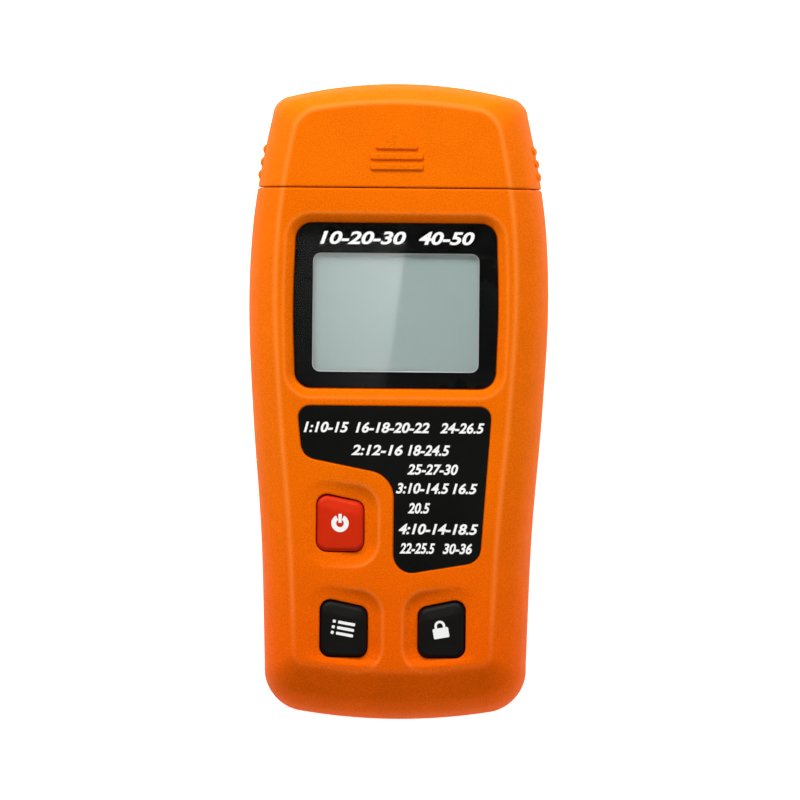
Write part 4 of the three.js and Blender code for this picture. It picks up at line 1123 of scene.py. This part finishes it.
def power_symbol():
    gap = math.radians(27)
    return [arc_band(0.78, 1.78, math.pi / 2 + gap, 2.5 * math.pi - gap), bar(-0.33, 0.1, 0.33, 1.95)]


def list_symbol():
    """Three lines, each with its dot."""
    columns = ((-2.3, -1.7), (-1.2, 2.3))
    return [bar(left, row - 0.3, right, row + 0.3) for row in (-1.15, 0, 1.15) for left, right in columns]


def padlock_symbol():
    shackle = arc_band(0.6, 1.1, 0, math.pi) + (0, 0.7)
    left_foot = [(-1.1, 0.2), (-0.6, 0.2)]
    right_foot = [(0.6, 0.2), (1.1, 0.2)]
    half = len(shackle) // 2
    bow = np.vstack([shackle[:half], left_foot, shackle[half:], right_foot])
    return [bar(-1.6, -1.8, 1.6, 0.3, 0.25), bow]


def key_pieces():
    looks = {
        "power_key": ("red", "power_button", power_symbol(), 0, (0.0, -0.35)),
        "mode_key": ("black", "mode_button", list_symbol(), -10, (-0.1, -0.3)),
        "hold_key": ("black", "hold_button", padlock_symbol(), 10, (-0.2, -0.3)),
    }
    for key in KEYS:
        look, body, symbol, angle, shift = looks[key["node"]]
        slot = f"key_{look}"
        height = key_piece(key, MATERIALS[look], slot, body)
        centre = np.array([key["x"], key["low"] + KEY_HEIGHT / 2]) + shift
        outlines = [turned(shape, math.radians(angle), centre) for shape in symbol]
        flat_mark(f"{key['node']}_mark", outlines, height, body, slot)


def numerals(name, text, left, right, middle_y, tall, z, body, slot):
    """Slanted bold numerals, stretched to run from left to right and standing a little proud of z."""
    curve = bpy.data.curves.new(name, "FONT")
    curve.body = text
    curve.shear = 0.25
    curve.offset = 0.03
    curve.extrude = 0.02
    curve.resolution_u = 4
    holder = bpy.data.objects.new(name + "_text", curve)
    bpy.context.collection.objects.link(holder)
    depsgraph = bpy.context.evaluated_depsgraph_get()
    mesh = bpy.data.meshes.new_from_object(holder.evaluated_get(depsgraph))
    bpy.data.objects.remove(holder)
    piece = bpy.data.objects.new(name, mesh)
    bpy.context.collection.objects.link(piece)
    points = np.array([tuple(v.co) for v in mesh.vertices])
    low = points.min(0)
    size = points.max(0) - low
    scale = np.array([right - left, tall, NUMERAL_THICKNESS]) / size
    points = (points - low) * scale + (left, middle_y - tall / 2, z)
    mesh.vertices.foreach_set("co", (points * MM).ravel())
    dress(piece, MATERIALS["ink"], body, slot, weighted=False)


def display_pieces():
    lens_z = LENS_HIGH[2]
    outline, inner = (resample(bezel_outline(-grow), 300) for grow in (HAIR, HAIR + LENS_CHAMFER))
    loops = [at_height(outline, LENS_LOW[2]), at_height(outline, lens_z - LENS_CHAMFER),
             at_height(inner, lens_z)]
    dress(loft("lens_skin", loops), MATERIALS["lens"], "housing", "lens_clear", "display_lens")
    mask = prism("mask_skin", outline, MASK_LOW[2], MASK_HIGH[2] - HAIR)
    room = [at_height(resample(window_outline(grow), 240), MASK_LOW[2] + rise)
            for grow, rise in ((-0.2, -0.2), (0.0, 0.0), (0.2, 0.2))]
    cut(mask, loft("room", room))
    dress(mask, MATERIALS["mask"], "housing", "mask_black", "lens_mask", angle=20)
    # The window's cut walls get the light grey of the painted highlight line.
    mask.data.materials.append(MATERIALS["rim"])
    for face in mask.data.polygons:
        x, y, _ = (value / MM for value in face.center)
        level = abs(face.normal.z) > 0.9
        near = signed_distance(np.array([(x, y)]), window_outline(0.3))[0] > 0
        face.material_index = int(near and not level)
    row = (WINDOW_HIGH[1] + LENS_HIGH[1]) / 2 + 0.1
    for name, text, left, right in (
        ("scale_numerals_low", "10-20-30", -15.6, 2.0), ("scale_numerals_high", "40-50", 4.6, 16.0),
    ):
        numerals(name, text, left, right, row, HEADER_NUMERAL_HEIGHT, lens_z - HAIR, "housing", "mask_black")


def label_pieces():
    low, high = LABEL_LOW[2], LABEL_HIGH[2]
    loops = [at_height(resample(label_outline(grow), 360), z) for grow, z in
             ((-0.02, low), (-0.02, high - 0.08), (-0.06, high - 0.02), (-0.14, high))]
    dress(loft("label_skin", loops), MATERIALS["label"], "housing", "label_black", "species_label")
    rows = [
        (-5.35, [("1:10-15", -18.5, -9.3), ("16-18-20-22", -7.9, 7.2), ("24-26.5", 9.35, 18.4)]),
        (-9.95, [("2:12-16", -8.75, 1.8), ("18-24.5", 2.8, 11.4)]),
        (-13.85, [("25-27-30", 2.7, 13.1)]),
        (-17.7, [("3:10-14.5", 0.45, 11.3), ("16.5", 12.0, 17.1)]),
        (-21.75, [("20.5", 2.9, 7.45)]),
        (-26.0, [("4:10-14-18.5", 1.05, 17.3)]),
        (-29.95, [("22-25.5", 1.3, 8.55), ("30-36", 10.1, 16.1)]),
    ]
    for line, (middle, words) in enumerate(rows):
        for number, (text, left, right) in enumerate(words):
            numerals(f"label_numerals_{line}_{number}", text, left, right, middle, LABEL_NUMERAL_HEIGHT,
                     high - HAIR, "housing", "label_black")


SCREW_SHANK_RADIUS = 1.15
CROSS_HALF_WIDTH = 0.2


def screw_piece(node):
    x, y, head_z, radius = screw_place(node)
    low, high = node_box(node)
    tip = high[2] - low[2]
    dome = [(0.0, 0.0), (0.35, 0.0), (0.7, 0.1), (0.92, 0.35), (1.0, 0.75), (1.0, SCREW_HEAD_HEIGHT)]
    profile = [(share * radius, z) for share, z in dome]
    shank = SCREW_SHANK_RADIUS
    profile += [(shank, SCREW_HEAD_HEIGHT), (shank, tip - 1.2), (0.4, tip), (0, tip)]
    body = lathe(f"{node}_skin", profile)
    arm = 0.62 * radius
    square = np.array([(-1, -1), (1, -1), (1, 1), (-1, 1)])
    for half in ((arm, CROSS_HALF_WIDTH), (CROSS_HALF_WIDTH, arm)):
        mouth = square * half
        cut(body, loft("recess", [at_height(mouth, -0.5), at_height(mouth * (0.6, 0.7), 1.1)]))
    move(body, x, y, head_z)
    dress(body, MATERIALS["zinc"], "housing", "screw_steel", node)


def along_y(obj, x, y, z):
    """Turns a piece made round Z so that it lies along Y, and puts it in place."""
    turn = Matrix.Rotation(-math.pi / 2, 4, "X")
    obj.data.transform(Matrix.Translation(Vector((x, y, z)) * MM) @ turn)


# ---- pins, their block and their nuts ----
PIN_POINT_RADIUS = 0.95
PIN_SHOULDER = 0.2
PIN_HOLE_RADIUS = 1.8
PIN_HOLE_X = 13.0
NUT_TEETH = 28
NUT_BORE_RADIUS = 1.15


def pin_pieces():
    for side in ("left", "right"):
        low, high = node_box(f"probe_pin_{side}")
        x, _, z = (low + high) / 2
        nut_low, nut_high = node_box(f"pin_nut_{side}")
        shank = (high[0] - low[0]) / 2
        reach = high[1] - low[1]
        nose = NECK_Y + 1 - low[1]
        pin = lathe(f"probe_pin_{side}_skin", [
            (0, 0), (shank, 0), (shank, nose - PIN_SHOULDER), (shank - PIN_SHOULDER, nose),
            (PIN_POINT_RADIUS, nose), (PIN_POINT_RADIUS, reach - 4.2), (0.9, reach - 3.6),
            (0.5, reach - 1.2), (0.14, reach - 0.15), (0, reach),
        ])
        along_y(pin, x, low[1], z)
        dress(pin, MATERIALS["steel"], "housing", "pin_steel", f"probe_pin_{side}")
        nut = knurled_nut(f"pin_nut_{side}_skin", (nut_high[0] - nut_low[0]) / 2, nut_high[1] - nut_low[1])
        along_y(nut, x, nut_low[1], z)
        dress(nut, MATERIALS["brass"], "housing", "nut_brass", f"pin_nut_{side}", angle=25)
    back_high = (BLOCK_HIGH[0], NECK_Y - NECK_WALL - CLEAR, BLOCK_HIGH[2])
    pin_block = soft_block("pin_block_skin", BLOCK_LOW, back_high, 0.6)
    join(pin_block, soft_block("nose", BLOCK_LOW + (NOSE_STEP, 2, NOSE_STEP),
                               BLOCK_HIGH - (NOSE_STEP, 0, NOSE_STEP), 0.5))
    for side in (-1, 1):
        hole = rod("room", PIN_HOLE_RADIUS, -2, 20)
        along_y(hole, side * PIN_HOLE_X, BLOCK_LOW[1], (BLOCK_LOW[2] + BLOCK_HIGH[2]) / 2)
        cut(pin_block, hole)
    dress(pin_block, MATERIALS["inner"], "housing", "inner_black", "pin_block")


def knurled_nut(name, radius, length):
    wave = np.tile([0.0, 0.09, 0.12, 0.09], NUT_TEETH)
    rim = circle(1, len(wave))
    steps = [(0.25, 0.0), (0.02, 0.2), (0.0, 0.35),
             (0.0, length - 0.5), (0.05, length - 0.3), (0.35, length)]
    nut = loft(name, [at_height(rim * (radius - drop - wave)[:, None], z) for drop, z in steps])
    return cut(nut, rod("bore", NUT_BORE_RADIUS, -1, length + 1))


def soft_block(name, low, high, radius):
    """A box whose corners along Y, and the rims of its two ends, are rounded."""
    ends = [(0.7, 0.0), (0.2, 0.1), (0.0, 0.35)]
    places = [(inset * radius, low[1] + rise * radius) for inset, rise in ends]
    places += [(inset * radius, high[1] - rise * radius) for inset, rise in reversed(ends)]
    loops = []
    for inset, y in places:
        outline = rectangle(low[0] + inset, low[2] + inset, high[0] - inset, high[2] - inset, radius, 0.2)
        loops.append(np.insert(resample(outline, 120), 1, y, axis=1))
    return loft(name, loops)


# ---- the battery's studs, as shares of their radius and height, and its coloured band ----
BAND_LENGTH = 15.0
ROUND_STUD = [(0, 0), (0.75, 0), (0.75, 0.45), (1, 0.6), (1, 0.85), (0.85, 1), (0, 1)]
OPEN_STUD = [(0, 0), (0.9, 0), (1, 0.3), (1, 0.8), (0.9, 1), (0.7, 1), (0.66, 0.4), (0, 0.4)]


def battery_pieces():
    wrap = soft_block("battery_skin", BATTERY_LOW, BATTERY_HIGH, 1.8)
    dress(wrap, MATERIALS["battery"], "housing", "battery_wrap", "battery")
    wrap.data.materials.append(MATERIALS["battery_band"])
    split = (BATTERY_HIGH[1] - BAND_LENGTH) * MM
    bm = bmesh.new()
    bm.from_mesh(wrap.data)
    geometry = [*bm.verts, *bm.edges, *bm.faces]
    bmesh.ops.bisect_plane(bm, geom=geometry, plane_co=(0, split, 0), plane_no=(0, 1, 0))
    for face in bm.faces:
        face.material_index = int(face.calc_center_median().y > split)
    bm.to_mesh(wrap.data)
    bm.free()
    rooms = []
    for name, shares, sides in (("positive", ROUND_STUD, 40), ("negative", OPEN_STUD, 6)):
        node = f"battery_terminal_{name}"
        low, high = node_box(node)
        x, _, z = (low + high) / 2
        radius = (high[0] - low[0]) / 2
        tall = high[1] - low[1]
        stud = lathe(f"{node}_skin", [(radius * across, tall * up) for across, up in shares], sides)
        along_y(stud, x, low[1], z)
        dress(stud, MATERIALS["tin"], "housing", "tin_can", node, angle=25)
        rooms.append(rod("room", radius + CLEAR, -2, tall + CLEAR))
        along_y(rooms[-1], x, low[1], z)
    snap = cut(soft_block("battery_snap_skin", SNAP_LOW, SNAP_HIGH, 0.9), *rooms)
    dress(snap, MATERIALS["inner"], "housing", "inner_black", "battery_snap")


def dress_frame():
    """Gives the CAD nodes that stay their materials."""
    looks = {
        "lcd_panel": "lcd", "backlight_panel": "white", "main_board": "board", "crystal": "tin",
        "filter_capacitor": "sleeve", "battery_lead_red": "lead_red", "battery_lead_black": "lead_black",
    }
    for pattern, endings, look in (
        ("{}_chip", ("controller", "amplifier"), "chip"),
        ("zebra_strip_{}", ("upper", "lower"), "elastomer"),
        ("pin_lead_{}", ("left", "right"), "lead_white"),
        ("switch_body_{}", ("power", "mode", "hold"), "inner"),
        ("switch_plunger_{}", ("power", "mode", "hold"), "white"),
        ("board_screw_{}", range(1, 5), "zinc"),
    ):
        looks.update({pattern.format(ending): look for ending in endings})
    for node, material in looks.items():
        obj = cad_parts[node]
        for slot in obj.material_slots:
            slot.material = MATERIALS[material]


# ---------------------------------------------------------------- stage

# In metres, degrees and millimetres of focal length.
CAMERA_DISTANCE = 3.995
CAMERA_TARGET = (0.0005, 0.0003, 0.015)
CAMERA_SIDE = (0.3217, -0.0004, 7.985)
CAMERA_LEAN = 0.0402
CAMERA_ROLL = 0.55
CAMERA_LENS = 878
LIT_POINT = (0, 0, 0.02)
FLOOR_REACH = 3.0
FLOOR_Z = -0.0002
FLOOR_GLOW = 0.7
SKY_STRENGTHS = (0.4, 0.05)
PANE_HEIGHT = 0.4
PANE_GLOW_ACROSS = 2.1
PANE_GLOW_ALONG = 1.4

def aim(obj, target):
    direction = Vector(target) - obj.location
    obj.rotation_euler = direction.to_track_quat("-Z", "Y").to_euler()


def area_light(name, location, size, power):
    light = bpy.data.lights.new(name, "AREA")
    light.shape = "RECTANGLE"
    light.size, light.size_y = size
    light.energy = power
    obj = bpy.data.objects.new(name, light)
    bpy.context.collection.objects.link(obj)
    obj.location = location
    aim(obj, LIT_POINT)
    obj.visible_camera = False


def card(name, corners, height):
    """A flat four-cornered stage piece at one height, in metres."""
    mesh = bpy.data.meshes.new(name)
    mesh.from_pydata([(x, y, height) for x, y in corners], [], [(0, 1, 2, 3)])
    obj = bpy.data.objects.new(name, mesh)
    bpy.context.collection.objects.link(obj)
    return obj


def build_stage():
    square = [(-FLOOR_REACH, -FLOOR_REACH), (FLOOR_REACH, -FLOOR_REACH), (FLOOR_REACH, FLOOR_REACH),
              (-FLOOR_REACH, FLOOR_REACH)]
    floor = card("floor", square, 0)
    paint, *_ = new_material("floor_paint", (0.93, 0.93, 0.93), 0.8, Emission_Color=(1, 1, 1, 1),
                             Emission_Strength=FLOOR_GLOW)
    floor.data.materials.append(paint)
    floor.location.z = FLOOR_Z
    build_sky()
    area_light("key_softbox", (-0.12, 0.62, 0.42), (0.7, 0.3), 7.6)
    area_light("fill_softbox", (0.0, -0.75, 1.5), (1.2, 0.5), 6.2)
    area_light("left_softbox", (-1.3, 0.1, 0.7), (1.0, 0.6), 0.6)
    area_light("right_softbox", (1.3, 0.1, 0.7), (1.0, 0.6), 2.8)
    build_pane()
    bpy.context.scene.view_settings.view_transform = "Standard"


def build_pane():
    """A small glowing card whose reflection lies across the left of the display, as the camera sees it."""
    seen = np.array([(-20.0, 2.5), (-20.0, 33.5), (2.97, 33.5), (-1.05, 2.5)]) * MM
    points = seen * (1 + PANE_HEIGHT / CAMERA_DISTANCE) - (CAMERA_LEAN * PANE_HEIGHT, 0)
    pane = card("pane", points, PANE_HEIGHT)
    pane.visible_camera = False
    pane.visible_shadow = False
    paint, tree, shader, spot = new_material("pane_glow", (0, 0, 0), 1.0, Specular_IOR_Level=0.0,
                                             Emission_Color=(1, 1, 1, 1))
    (left, low), (right, high) = points[0], points[2]
    across = remap(tree, axis_of(tree, spot, "X"), left, right, 0, PANE_GLOW_ACROSS)
    along = remap(tree, axis_of(tree, spot, "Y"), low, high, 0, PANE_GLOW_ALONG)
    wire(tree, shader, Emission_Strength=math_node(tree, "ADD", across, along))
    pane.data.materials.append(paint)


def build_sky():
    """Surroundings that are bright low down and dim overhead, so that flat glossy faces stay dark."""
    world = bpy.data.worlds.new("studio")
    world.use_nodes = True
    tree = world.node_tree
    rise = axis_of(tree, tree.nodes.new("ShaderNodeTexCoord").outputs["Generated"], "Z")
    wire(tree, tree.nodes["Background"], Strength=remap(tree, rise, 0.35, 0.85, *SKY_STRENGTHS))
    tree.nodes["Background"].inputs["Color"].default_value = (1, 1, 1, 1)
    bpy.context.scene.world = world


def build_camera():
    """A long lens above the display, a little to its right, as the meter is seen."""
    camera = bpy.data.cameras.new("camera")
    camera.lens = CAMERA_LENS
    camera.sensor_width = 36
    obj = bpy.data.objects.new("camera", camera)
    bpy.context.collection.objects.link(obj)
    back = Vector(CAMERA_SIDE).normalized()
    right = Vector((0, 1, 0)).cross(back).normalized()
    upright = Matrix((right, back.cross(right), back)).transposed()
    obj.location = Vector(CAMERA_TARGET) + back * CAMERA_DISTANCE
    obj.rotation_euler = (upright @ Matrix.Rotation(math.radians(CAMERA_ROLL), 3, "Z")).to_euler()
    bpy.context.scene.camera = obj


case_pieces()
key_pieces()
display_pieces()
label_pieces()
for screw_node in CASE_SCREWS:
    screw_piece(screw_node)
pin_pieces()
battery_pieces()
dress_frame()
build_stage()
build_camera()
